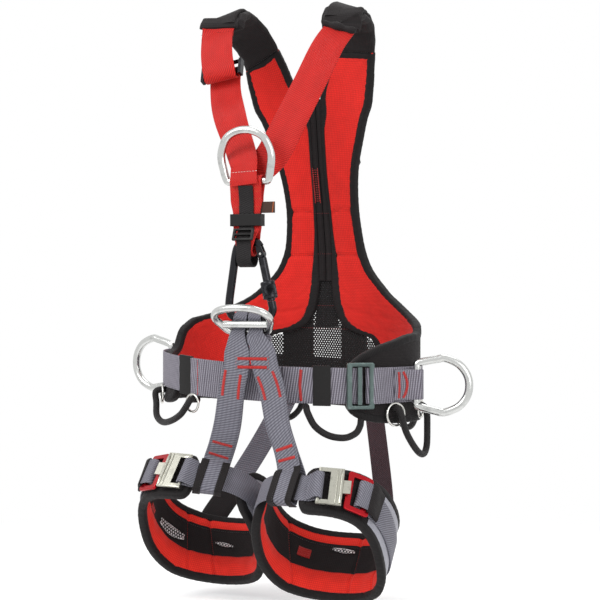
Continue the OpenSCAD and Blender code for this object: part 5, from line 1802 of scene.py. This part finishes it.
@dataclass
class GearLoops(SubAssembly):
    """Stiff covered loops for tools, and the small rings that hang on them."""

    radius: float = 4.25  # radius of a loop
    wire: float = 1.6  # radius of the small rings' wire

    def paths(self) -> dict[str, tuple[Spots, float]]:
        """Returns each loop's points, as angle, height and distance out, and its mid angle."""
        go, l1 = FORM.pad + .4, LAYER_1

        def rear(a: float, s: int) -> Spots:
            """Returns a rear loop that starts at an angle on one side."""
            return [(s * d + a, z, o) for d, z, o in (
                (12, -28, go - 2.1), (12, -28.4, go + 5), (12.3, -36, go + 11), (14.5, -54, 23),
                (18.5, -66, 24), (23, -66, 24), (27, -54, 23), (29.2, -36, go + 11), (29.5, -28.4, go + 5),
                (29.5, -28, go - 2.1))]

        left = rear(20, 1)
        left[4], left[5] = (38.5, -64, 24), (43, -64, 24)
        left[8], left[9] = (49.5, -28.4, go + 6), (49.5, -28, go + .4)
        return {
            "gear_loop_right": ([(-117, -28, go), (-117, -28.2, go + 7), (-117.3, -32, go + 13),
                                 (-119, -45, 22), (-124, -60, 24), (-131, -66, 22.5), (-140, -61, 23),
                                 (-148, -50, 25), (-152.6, -37, 26.5), (-153.5, -29.4, 23),
                                 (-153.5, -28.8, 16), (-153.5, -28.8, l1 + .5)], -134),
            "gear_loop_left_front": ([(156, -26.9, l1), (156, -27.2, l1 + 6), (155.4, -34, l1 + 10),
                                      (152.5, -50, 20), (147, -61, 19), (140, -64, 16), (134, -59, 9.5),
                                      (131.2, -51, 5.4), (130.6, -46, 4.6), (130.2, -36, 4.5)], 146),
            "gear_loop_left_side": ([(113, -29, go), (113, -29.4, go + 7), (112.6, -35, go + 12),
                                     (109, -60, 22), (102.5, -82, 24), (96, -89, 24), (91, -80, 23.5),
                                     (89.4, -58, 23), (89, -36, go + 12.5), (89, -28.4, go + 7),
                                     (89, -28, go)], 101),
            "gear_loop_rear_right": (rear(0, -1), -20), "gear_loop_rear_left": (left, 40)}

    def build(self) -> None:
        """Builds the loops and their small rings."""
        for name, (spots, middle) in self.paths().items():
            path = np.array([FORM.belt(*s) for s in spots])
            loop = Bar(name + "_covered", path, FORM.belt_out(middle), self.radius, fine=10, sides=20)
            show(loop, Finish.CORD, name)
        go, l2 = FORM.pad + .4, LAYER_2
        for name, (f, z, o, r) in {
                "accessory_ring_right_side": (-117, -28.1, go + 4.4, 12),
                "accessory_ring_right_front": (-153.5, -28.8, l2 + FORM.web + 5.4, 11),
                "accessory_ring_left_front": (113, -29.2, go + 4.4, 14),
                "accessory_ring_left_side": (89, -28.2, go + 4.4, 11)}.items():
            c, u = FORM.belt(f, z - (r - self.wire - self.radius - .6), o), FORM.belt_on(f)
            a = np.arange(0, 360, 10)[:, None]
            path = c + r * cosd(a) * u + r * sind(a) * Z_AXIS
            ring = Bar(name + "_wire", path, np.cross(u, [0, 0, 1.0]), self.wire, None, True, 2, 14)
            show(ring, Finish.WIRE, name, body=name)


@dataclass
class WaistRing(SubAssembly):
    """The waist ring with its crossbar, and the two risers that join it to the leg loops."""

    radius: float = 4.7  # radius of the ring's section
    riser: float = 34.0  # width of the risers
    leg_web: float = 36.0  # width of the leg webbing
    krab_r: float = 5.2  # radius of the carabiner's section, which the risers turn round
    sleeve: float = 1.4  # thickness of the leg sleeve inside the risers

    def build(self) -> None:
        """Builds the ring and both risers."""
        centre, turn = np.array([3, -150, 80.5]), 50
        up = np.array([0, -sind(turn), cosd(turn)])
        flat = np.array(
            [(-20, -14), (0, -14), (20, -14), (28, -10), (33, 0), (37, 10), (34.5, 20.5), (25, 28),
             (9, 31.8), (-9, 31.8), (-25, 28), (-34.5, 20.5), (-37, 10), (-33, 0), (-28, -10)])
        bow = Bar("ventral_ring_bow", on_plane(flat, centre, X_AXIS, up), np.cross(X_AXIS, up), self.radius,
                  None, True, 8, 28)
        show(bow, Finish.FORGED, "ventral_ring", body="ventral_ring")
        profile = [(0, .1), (0, 3.6), (1.2, 4.6), (4, 4.75), (31, 4.85), (58, 4.75), (60.8, 4.6), (62, 3.6),
                   (62, .1)]
        bar = turned("ventral_crossbar", profile, centre - 31 * X_AXIS, X_AXIS, 32)
        show(bar, Finish.FORGED, body="ventral_ring")
        for side, word in SIDES:
            self.riser_web(side, word)

    def riser_web(self, side: int, word: str) -> None:
        """Builds one riser: over the carabiner's rod, down, round the leg webbing and back up."""
        t = FORM.web
        f = -155 if side < 0 else -165
        lw = self.leg_web / 2
        so, sw = t / 2 + .4 + self.sleeve, lw + .4 + self.sleeve
        c = np.array([-5.1 if side < 0 else 13.8, -140, 88.2])
        r, g = self.krab_r + .75 + t / 2, t + .4
        rx = ([-7, -8.2, -8.6, -8.4, -8, -9.5, -17.5, -28, -39] if side < 0
              else [13.8, 14.2, 15.8, 21, 26, 31, 39.6, 48, 58])
        ry = [-147, -136.5, -128] if side < 0 else [-152, -154, -154.5]
        ro = so + .9 + t / 2
        ri = ro + 2.6
        mid = [[rx[3], -151, 58], [rx[4], -151.6, 46], [rx[5], -151.6, 26], [rx[6], ry[0], 0],
               [rx[7], ry[1], -42], [rx[8], ry[2], -70]]
        front = [[rx[0], -145.75, 84.8], [rx[0], -143.5, 80.6], [rx[1], -144, 77.2], [rx[1], -146, 74],
                 [rx[2], -147.9, 70.4], [rx[2], -149.7, 65.4]] + mid
        on = ON_PAD
        loop = [FORM.leg(side, f, o, w) for o, w in (
            (on + ro + .3, 24), (on + ro, 14), (on + ro + .1, 0), (on + ro + .2, -14),
            (on + ro + .1, -sw + .2), (on + ro - 1.4, -sw - 2.8), (on - .8, -sw - 3.4),
            (on - ri + 2, -sw - 2.6), (on - ri + .2, -sw + .6), (on - ri, -14), (on - ri, 0), (on - ri, 14),
            (on - ri - .3, 24))]
        back = [[q[0], q[1] + g, q[2]] for q in mid[5:0:-1]] + [
            [rx[3], -146.6, 57], [rx[3], -139, 60.5], [rx[2], -133.8, 65.5], [rx[1], -132.4, 72],
            [rx[1], -132.4, 79]]
        path = np.vstack([arc(c, r, 0, 180, 8), front, loop, back])
        run = FORM.leg_on(side, f)
        w2 = run * (1 if run[0] > 0 else -1)
        ease = np.clip((20 - path[:, 2]) / 110, 0, 1)
        ease = (ease * ease * (3 - 2 * ease))[:, None]
        wide = unit(X_AXIS + (w2 - [1, 0, 0]) * ease)
        z = path[:, 2]
        width = np.where(z > 76, 17.4, np.where(z > 46, (self.riser - 1) + (18 - self.riser + 1)
                                                * np.clip((z - 46) / 28, 0, 1), self.riser))
        strap = Ribbon(f"riser_web_{word}", path, wide, width, t, True, 4)
        show(strap, Finish.GREY_WEB, f"riser_{word}")
        n = len(strap.mid)
        half = n // 2

        def at(height: float) -> int:
            """Finds the point of the front run nearest a height."""
            return 32 + int(np.argmin(np.abs(strap.mid[32:half, 2] - height)))

        face = 1 if strap.normal[at(0)][1] < 0 else -1
        if side > 0:
            out = np.array([0, -1.0, 0])
            for level in (38.5, 28.0):
                line = [(x, -153.1, level) for x in np.linspace(-6, 33, 9)]
                self.threads.row(Thread.RED, Seam.TACK, line, [out] * len(line))
            for x in (-8.5, 35.5):
                self.threads.row(
                    Thread.RED, Seam.FINE, [(x, -153.0, z) for z in (26.0, 33.0, 40.5)], [out] * 3)
        for u in (-10.5, 10.5):
            self.threads.on_ribbon(strap, Thread.RED, Seam.TACK, [(at(20), u - 2), (at(-9), u)], face)
        for level in (-67.5, -85):
            k = at(level)
            self.threads.on_ribbon(strap, Thread.RED, Seam.TACK, [(k, -12.5), (k, 12.5)], face)
        for u in (-15.2, 15.2):
            self.threads.on_ribbon(strap, Thread.GREY, Seam.FINE, [(at(38), u), (at(-88), u)], face)
        self.edge_tapes(strap, at(-94), word, face)

    def edge_tapes(self, strap: Ribbon, start: int, word: str, face: int) -> None:
        """Builds the black sleeve over the riser's lower end, open to the grey in the middle."""
        stop = start + int(np.argmin(strap.mid[start:, 2])) + 2
        rows = slice(start, stop)
        for s, edge in ((-1, "inner"), (1, "outer")):
            mid = strap.mid[rows] + s * 13.6 * strap.side[rows] + face * 1.55 * strap.normal[rows]
            tape = Ribbon(f"riser_sleeve_{edge}_{word}", mid, strap.side[rows], 9.8, 1.3, fine=1)
            show(tape, Finish.BLACK_CLOTH)
            run = smooth(mid + face * .8 * strap.normal[rows] - s * 3.6 * strap.side[rows], 1)
            self.threads.row(Thread.BLACK, Seam.FINE, run, face * strap.normal[rows])


@dataclass
class LegLoop(SubAssembly):
    """One leg loop: pad, webbing, red frame, hinged plate, sleeve and elastic rear strap."""

    word: str  # "left" or "right"
    side: int  # 1 for the wearer's left, -1 for the right
    channels: tuple[tuple[float, float], ...]  # sewn lines across the pad: angle at the top and at the bottom
    # mesh windows: first and last angle, height at each, half height
    windows: tuple[tuple[float, float, float, float, float], ...]
    # red tacked boxes: angle, height across the thigh, length, height
    tacks: tuple[tuple[float, float, float, float], ...]
    height: float = 98.0  # height of the pad at the back of the thigh
    web: float = 36.0  # width of the webbing

    @property
    def tongue(self) -> float:
        """Returns the angle where the narrow black tongue behind the buckle ends."""
        return 181.0 if self.side > 0 else 190.0

    @property
    def bar_angle(self) -> float:
        """Returns the angle of the hinged plate's bar."""
        return 165.5 if self.side > 0 else 182.5

    @property
    def frame_angle(self) -> float:
        """Returns the angle of the red frame."""
        return 134 if self.side > 0 else 150

    def on_leg(self, a, o, w=0.0) -> Array:
        """Returns places round this leg at an angle, a distance out and a distance up the thigh."""
        return FORM.leg(self.side, a, o, w)

    def place(self, a, b, o) -> Array:
        """Puts a point of the pad round the thigh."""
        return FORM.leg(self.side, a, o, b)

    @staticmethod
    def band(a: Array, b: Array, share: Array) -> Array:
        """Tells which cloth covers the inner face: 0 red, 2 the black middle."""
        top = 1 - share
        ends = np.clip((np.abs(a) - 88) / 26, 0, 1)
        middle = (top > .225 - .06 * ends) & (top < .64 + .1 * ends)
        return np.where(middle | (a > 117), 2, 0)

    def relief(self, a: Array, b: Array, share: Array) -> Array:
        """Returns how deep the middle band and the sewn lines lie."""
        top = 1 - share
        deep = 2.0 * np.clip(1 - np.abs(top - .43) / .23, 0, 1) ** .35 * (np.abs(a) < 112)
        for high, low in self.channels:
            line = high + (low - high) * (top - .1) / .8
            deep = deep + 2.4 * np.exp(-((a - line) / 2.0) ** 2)
        swell = 1.6 * np.exp(-((top - .76) / .08) ** 2) + .5 * np.exp(-((top - .17) / .04) ** 2)
        return deep - swell * (a < 112) + .35 * np.sin(a / 3.1 + 8 * top) * (top > .5)

    def sew(self, colour: Thread, seam: Seam, a, b, lift) -> None:
        """Sews a row on the pad's inner face."""
        self.threads.on_surface(colour, seam, self.place, a, b, lift)

    def half_height(self, f: Array) -> Array:
        """Returns the half height of the pad at an angle round the leg."""
        h, e = self.height / 2, self.tongue
        inner = np.interp(
            -f, [0, 50, 85, 105, 118, 125, 128.5], [h, h - 1, h - 7, h - 13, h - 20, h - 29, h - 40])
        outer = np.interp(f, [0, 50, 85, 105, 118, 126, e - 8, e - 4, e - 1.5, e],
                          [h, h - 1, h - 7, h - 13, h - 16, h - 17, h - 18, h - 20, h - 26, h - 36])
        return np.where(f < 0, inner, outer)

    def pad(self) -> None:
        """Builds the pad with its bands, channels, binding, windows and tacks."""
        e = self.tongue
        f = np.concatenate([[-128.5, -127.8, -127, -125.5, -124, -122], np.linspace(-120, e - 9, 270),
                            [e - 7, e - 5, e - 3.5, e - 2, e - 1, e - .4, e]])
        w = self.half_height(f)[:, None] * (2 * crowded(48, .5) - 1)
        sheet = np.stack([np.broadcast_to(f[:, None], w.shape), w], -1)
        shell = PadShell(f"leg_pad_shell_{self.word}", sheet, self.place, FORM.pad, 1.4, self.relief,
                         self.band, lambda a, b: np.where(a > 117, 2, 1))
        # the red slot takes the red cloth painted lighter against the shade inside the loop
        show(shell, (Finish.LEG_CLOTH, Finish.GREY_KNIT, Finish.BLACK_CLOTH), f"leg_pad_{self.word}",
             fill=0.8)
        show(EdgeBinding(f"leg_binding_{self.word}", shell, self.threads, lambda a, b: 10.0 + 0 * a, .8),
             Finish.BINDING)
        for high, low in self.channels:
            top = np.linspace(.12, .88, 30)
            a = high + (low - high) * (top - .1) / .8
            b = self.half_height(a) * (1 - 2 * top)
            self.sew(Thread.RED, Seam.FINE, a, b, -1.5 + self.relief(a, b, 1 - top))
        a = np.linspace(-84, 84, 120)
        for level in (.24, .63):
            self.sew(Thread.BLACK, Seam.FINE, a, self.half_height(a) * (1 - 2 * level), -.9)
        self.open_windows()
        for a, b, long, tall in self.tacks:
            for k in np.linspace(-tall / 2, tall / 2, 4):
                self.sew(Thread.RED, Seam.TACK, np.linspace(a - long / 2, a + long / 2, 14), b + k, -.7)

    def open_windows(self) -> None:
        """Builds the mesh windows in the middle band, each a net over a near-white sheet that paints the
        bright backdrop seen through its open holes.
        """
        for k, (a0, a1, b0, b1, half) in enumerate(self.windows):
            length = np.linalg.norm(self.on_leg(a0, 0, b0) - self.on_leg(a1, 0, b1))

            def place(x: float, y: float, o: float = -1.2) -> Array:
                """Puts a flat point of the window on the pad's inner face."""
                t = x / length
                return self.on_leg(a0 + (a1 - a0) * t, o, b0 + (b1 - b0) * t + y)

            def opening(x: float) -> float:
                """Returns the half height of the window, which narrows to its ends."""
                t = min(max(x / length, 0), 1)
                return half * (.35 + 1.3 * math.sin(math.pi * (.12 + .76 * t))) / 1.65

            def inside(x: float, y: float) -> bool:
                """Tells whether a flat point lies in the window."""
                return 0 <= x <= length and abs(y) < opening(x) + 1.5

            show(OpenNet(f"leg_window_{self.word}_{k}", 4.4, .66, .5, place, inside,
                         (0, length, -half - 3, half + 3)), Finish.MESH)
            xs = np.linspace(5, length - 5, 20)
            # painted light: a near-white sheet under the net stands for the bright backdrop seen through its
            # holes
            show(Ribbon(f"leg_window_backing_{self.word}_{k}", [place(x, 0, -.75) for x in xs],
                        FORM.leg_up(self.side, (a0 + a1) / 2), [2 * opening(x) - 4.5 for x in xs], .5,
                        fine=1), Finish.LINING)

    def straps(self) -> None:
        """Builds the leg webbing, its keeper, sleeve and rear strap, and the rolled rims of the plate."""
        s, fb, ff, t, on = self.side, self.bar_angle, self.frame_angle, FORM.web, ON_PAD
        bar_o = LAYER_1 + t + 6.4
        c, n, along = self.on_leg(fb, bar_o), FORM.leg_out(s, fb), -FORM.leg_on(s, fb)
        r = 2.4 + .5 + t / 2
        head = [self.on_leg(fb + d, o) for d, o in (
            (9.3, LAYER_2 + t / 2 + .2), (7.4, LAYER_2 + t / 2 + 1.4), (4.8, LAYER_2 + t / 2 + 5),
            (2.4, bar_o + r - .4))]
        head += list(around(c, n, along, r, -10, 190, 10))
        head += [self.on_leg(fb + d, on + o) for d, o in ((3.2, 2.4), (5.6, .7), (8, 0))]
        run = [self.on_leg(fb + 12 + (ff + 360 - 12 - fb - 12) * k / 52, on) for k in range(53)]
        tail = [self.on_leg(ff + d, on + o) for d, o in (
            (-5, 0), (-2, .1), (-.4, 1.2), (.6, 3.4), (.2, 6), (-1.4, 8), (-4.5, 8.8), (-8, 9.2),
            (-11.5, 9.2), (-14.5, 7.8), (-18.5, 5.2), (-23, 3.6))]
        reach = self.on_leg(ff + 8.2, LAYER_1 + t + 10.1) - c
        plate_x = unit(reach)
        plate_y = unit(FORM.leg_normal - plate_x * (FORM.leg_normal @ plate_x))
        wide = [plate_y] * len(head) + [FORM.leg_normal] * (len(run) + len(tail))
        show(Ribbon(f"leg_web_{self.word}", head + run + tail, wide, self.web, t, fine=4), Finish.GREY_WEB,
             f"leg_webbing_{self.word}")
        grip = [self.on_leg(ff + d, on + o) for d, o in (
            (-8.6, 9.2), (-11.5, 9.3), (-14.5, 7.9), (-18.5, 5.3), (-21.5, 4.2))]
        show(Ribbon(f"tail_keeper_{self.word}", grip, FORM.leg_normal, self.web + 4.5, t + 2.6, fine=4),
             Finish.BLACK_CLOTH)
        out = unit(np.cross(plate_x, plate_y))
        out = out * (1 if out @ n > 0 else -1)
        for back, radius in ((11.4, 2.3), (17.0, 1.1)):
            line = np.array([c + plate_x * (np.linalg.norm(reach) - back) + out * 1.5 + plate_y * u
                             for u in np.linspace(-23.6, 23.6, 9)])
            radii = radius * np.array([.6, .95, 1, 1, 1, 1, 1, .95, .6])
            show(Bar(f"plate_rim_{self.word}_{int(back)}", line, plate_x, radii, fine=3, sides=16),
                 Finish.STEEL, body=f"leg_buckle_plate_{self.word}")
        self.sleeve()
        self.rear_strap()

    def sleeve(self) -> None:
        """Builds the black sleeve round the leg webbing under the riser."""
        f0 = -165 if self.side > 0 else -155
        so, sw = FORM.web / 2 + 1.8, self.web / 2 + 1.8
        c, d = squared(np.arange(0, 360, 12), .4)
        steps = [(-4, .55), (-4, .9), *((k, 1.0) for k in np.linspace(-3.85, 3.85, 15)), (4, .9), (4, .55)]
        rings = np.array([
            self.on_leg(f0 + k * 2.85 + 0 * c, ON_PAD + so * c * size, sw * d * (.94 + .06 * size))
            for k, size in steps])
        show(skin(f"leg_sleeve_cloth_{self.word}", rings, run_lengths(rings[8], True),
                  run_lengths(rings[:, 0]), sharp=60.0), Finish.BLACK_CLOTH, f"leg_sleeve_{self.word}")

    def rear_strap(self) -> None:
        """Builds the strap from the belt to the back of the leg loop, with its own black sleeve."""
        s, on, hw, f = self.side, ON_PAD, 22.5, 28
        a = -20.6 if s < 0 else 23.5
        low, high = self.on_leg(f, on + 5, 60), FORM.belt(a + s, -hw - 30, on + 1)
        q = [FORM.belt(a, -hw - 2.6, on), FORM.belt(a, -hw - 12, on),
             FORM.belt(a + s * .4, -hw - 22, on + .6), mix(high, low, .33) + [0, 2, -2],
             mix(high, low, .7) + [0, 3, -2], self.on_leg(f, on + 3.5, 58), self.on_leg(f, on + 1.2, 50),
             self.on_leg(f, on, 38), self.on_leg(f, on, self.web / 2 + 1.4)]
        run = FORM.leg_on(s, f)
        share = np.linspace(0, 1, len(q))[:, None]
        wide = unit(FORM.belt_on(a) + (run * np.sign(run[0]) - FORM.belt_on(a)) * share)
        strap = Ribbon(f"rear_elastic_{self.word}", q, wide, 30, FORM.web, fine=8)
        n = len(strap.mid)
        # the lower half of the strap is the darker elastic
        obj = strap.build(lambda i, j: np.where(i > n // 2, 1, 0))
        show(obj, (Finish.GREY_WEB if s < 0 else Finish.MAROON_WEB, Finish.MAROON_WEB),
             f"rear_strap_{self.word}", slot="black_fabric")
        rows = slice(int(n * .49), int(n * .67)) if s < 0 else slice(int(n * .55), int(n * .72))
        show(Ribbon(f"rear_sleeve_{self.word}", strap.mid[rows], strap.side[rows], 34.5 if s < 0 else 33,
                    FORM.web + 2.4, fine=1), Finish.BLACK_CLOTH)

    def build(self) -> None:
        """Builds the whole leg loop."""
        self.pad()
        self.straps()
        self.machined(f"leg_buckle_frame_{self.word}", Finish.RED_ALLOY, 1.1, 3)
        plate = f"leg_buckle_plate_{self.word}"
        self.machined(plate, Finish.STEEL, .6, body=plate)


@dataclass
class BackPoint(SubAssembly):
    """The plate on the outside of the back and its forged ring."""

    height: float = 322.0  # height of the ring's bar

    def build(self) -> None:
        """Builds the plate and the ring."""
        up = unit(FORM.back(0, self.height + 20) - FORM.back(0, self.height - 20))
        origin = FORM.back(0, self.height, FORM.pad + FORM.web + 5)
        self.machined("dorsal_plate", Finish.PLASTIC, .9)
        ForgedRing("dorsal_ring", origin - unit(np.cross([1, 0, 0], up)) * 8.7, X_AXIS, unit([0, .21, -1]),
                   (62, 64, 46), 4.5).build()


@dataclass
class Studio:
    """Pale floor, soft lamps and a level camera in front and to one side."""

    azimuth: float = 23.0  # how far the camera stands to the wearer's left, in degrees
    distance: float = 2200.0  # distance of the camera
    aim: tuple[float, float, float] = (10.9, 4.6, 111.0)  # point at the middle of the picture
    lens: float = 99.8  # focal length for a 36 mm wide sensor
    floor: float = -284.0  # height of the floor

    def camera(self) -> None:
        """Sets up the camera."""
        data = bpy.data.cameras.new("camera")
        data.lens, data.sensor_width, data.clip_end = self.lens, 36.0, 50.0
        obj = new_object("camera", data)
        back = np.array([sind(self.azimuth), -cosd(self.azimuth), 0])
        obj.location = Vector((np.array(self.aim) + self.distance * back) * MM)
        obj.rotation_euler = Vector(-back).to_track_quat("-Z", "Y").to_euler()
        bpy.context.scene.camera = obj

    def lamp(self, name: str, place: tuple[float, float, float], size: float, power: float) -> None:
        """Hangs one soft square lamp that points at the harness."""
        data = bpy.data.lights.new(name, "AREA")
        data.size, data.energy = size, power
        obj = new_object(name, data)
        obj.location = place
        obj.rotation_euler = (Vector((0, 0, .1)) - Vector(place)).to_track_quat("-Z", "Y").to_euler()

    @staticmethod
    def fresh_tree(owner: bpy.types.World | bpy.types.Material) -> tuple[Callable, bpy.types.Node]:
        """Empties the nodes of a world or material.

        Args:
            owner: The world or material.

        Returns:
            A function that adds nodes, and a node that is 1 for what the camera, reflections
            and clear parts see, else 0.
        """
        owner.use_nodes = True
        owner.node_tree.nodes.clear()
        add = partial(add_node, owner.node_tree)
        ray = add("ShaderNodeLightPath").outputs
        first = add("ShaderNodeMath", {0: ray["Is Camera Ray"], 1: ray["Is Glossy Ray"]}, operation="MAXIMUM")
        return add, add("ShaderNodeMath", {0: first, 1: ray["Is Transmission Ray"]}, operation="MAXIMUM")

    def world(self) -> None:
        """Makes the surroundings: white to the eye, a soft grey as light."""
        world = bpy.data.worlds.new("white_studio")
        bpy.context.scene.world = world
        add, seen = self.fresh_tree(world)
        strength = add("ShaderNodeMapRange", {"Value": seen, "To Min": .52, "To Max": 1.0})
        sky = add("ShaderNodeBackground", {"Color": (1, 1, 1, 1), "Strength": strength})
        add("ShaderNodeOutputWorld", {"Surface": sky})

    def ground(self) -> None:
        """Lays the floor: matt white board that keeps a soft shadow."""
        bm = bmesh.new()
        bmesh.ops.create_circle(bm, cap_ends=True, segments=96, radius=9.0)
        mesh = bpy.data.meshes.new("floor")
        bm.to_mesh(mesh)
        bm.free()
        mesh.transform(Matrix.Translation((0, 0, self.floor * MM)))
        material = bpy.data.materials.new("matt_white_board")
        add, seen = self.fresh_tree(material)
        board = add("ShaderNodeBsdfDiffuse", {"Color": hex_to_linear("EDEDED")})
        lift = add("ShaderNodeMath", {0: seen, 1: .36}, operation="MULTIPLY")
        near = add("ShaderNodeAddShader", {0: board, 1: add("ShaderNodeEmission", {"Strength": lift})})
        far = add("ShaderNodeEmission", {"Strength": 1.0})
        here = add("ShaderNodeTexCoord").outputs["Object"]
        reach = add("ShaderNodeVectorMath", {0: here}, operation="LENGTH").outputs["Value"]
        away = add("ShaderNodeMapRange", {"Value": reach, "From Min": .45, "From Max": .95},
                   interpolation_type="SMOOTHSTEP")
        share = add("ShaderNodeMath", {0: away, 1: seen}, operation="MULTIPLY")
        both = add("ShaderNodeMixShader", {0: share, 1: near, 2: far})
        add("ShaderNodeOutputMaterial", {"Surface": both})
        mesh.materials.append(material)
        new_object("floor", mesh)

    def build(self) -> None:
        """Builds the camera, lamps, surroundings and floor."""
        self.camera()
        self.world()
        self.ground()
        self.lamp("key_lamp", (-1.3, -2.2, 2.0), 1.8, 62)
        self.lamp("fill_lamp", (2.4, -1.6, .9), 1.8, 30)
        self.lamp("top_lamp", (.2, .9, 2.6), 1.6, 26)
        bpy.context.scene.view_settings.view_transform = "Standard"


# ---------------------------------------------------------------- the whole harness


def main() -> None:
    """Builds the harness in order."""
    logging.basicConfig(level=logging.INFO, format="%(name)s: %(message)s")
    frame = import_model()
    Studio().build()
    threads = ThreadWork()
    kit = (threads, frame)
    shoulders = ShoulderParts(*kit)
    leg_right = LegLoop(
        *kit, "right", -1, ((54, 36), (30, 8), (-44, -56)), ((86, 47, -2, 3, 9), (21, -6, 8, 3, 5)),
        ((99, -11, 9, 10), (-38, -9, 8, 12)))
    leg_left = LegLoop(
        *kit, "left", 1, ((-66, -44), (12, 12), (52, 44)), ((-19, 12, 22, 19, 5.5), (50, 62, 14, 10, 4)),
        ((-42, 8, 13, 9),))
    for part in (BackPads(*kit), shoulders, BackPoint(*kit), ChestPoint(*kit, shoulders), Carabiner(*kit),
                 Belt(*kit), SidePoint(*kit, "left", 101, 1, .03), SidePoint(*kit, "right", -83, -1, -.04),
                 GearLoops(*kit), WaistRing(*kit), leg_right, leg_left, threads):
        part.build()
        log.info("built %s", type(part).__name__)
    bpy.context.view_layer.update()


if __name__ == "__main__":
    main()
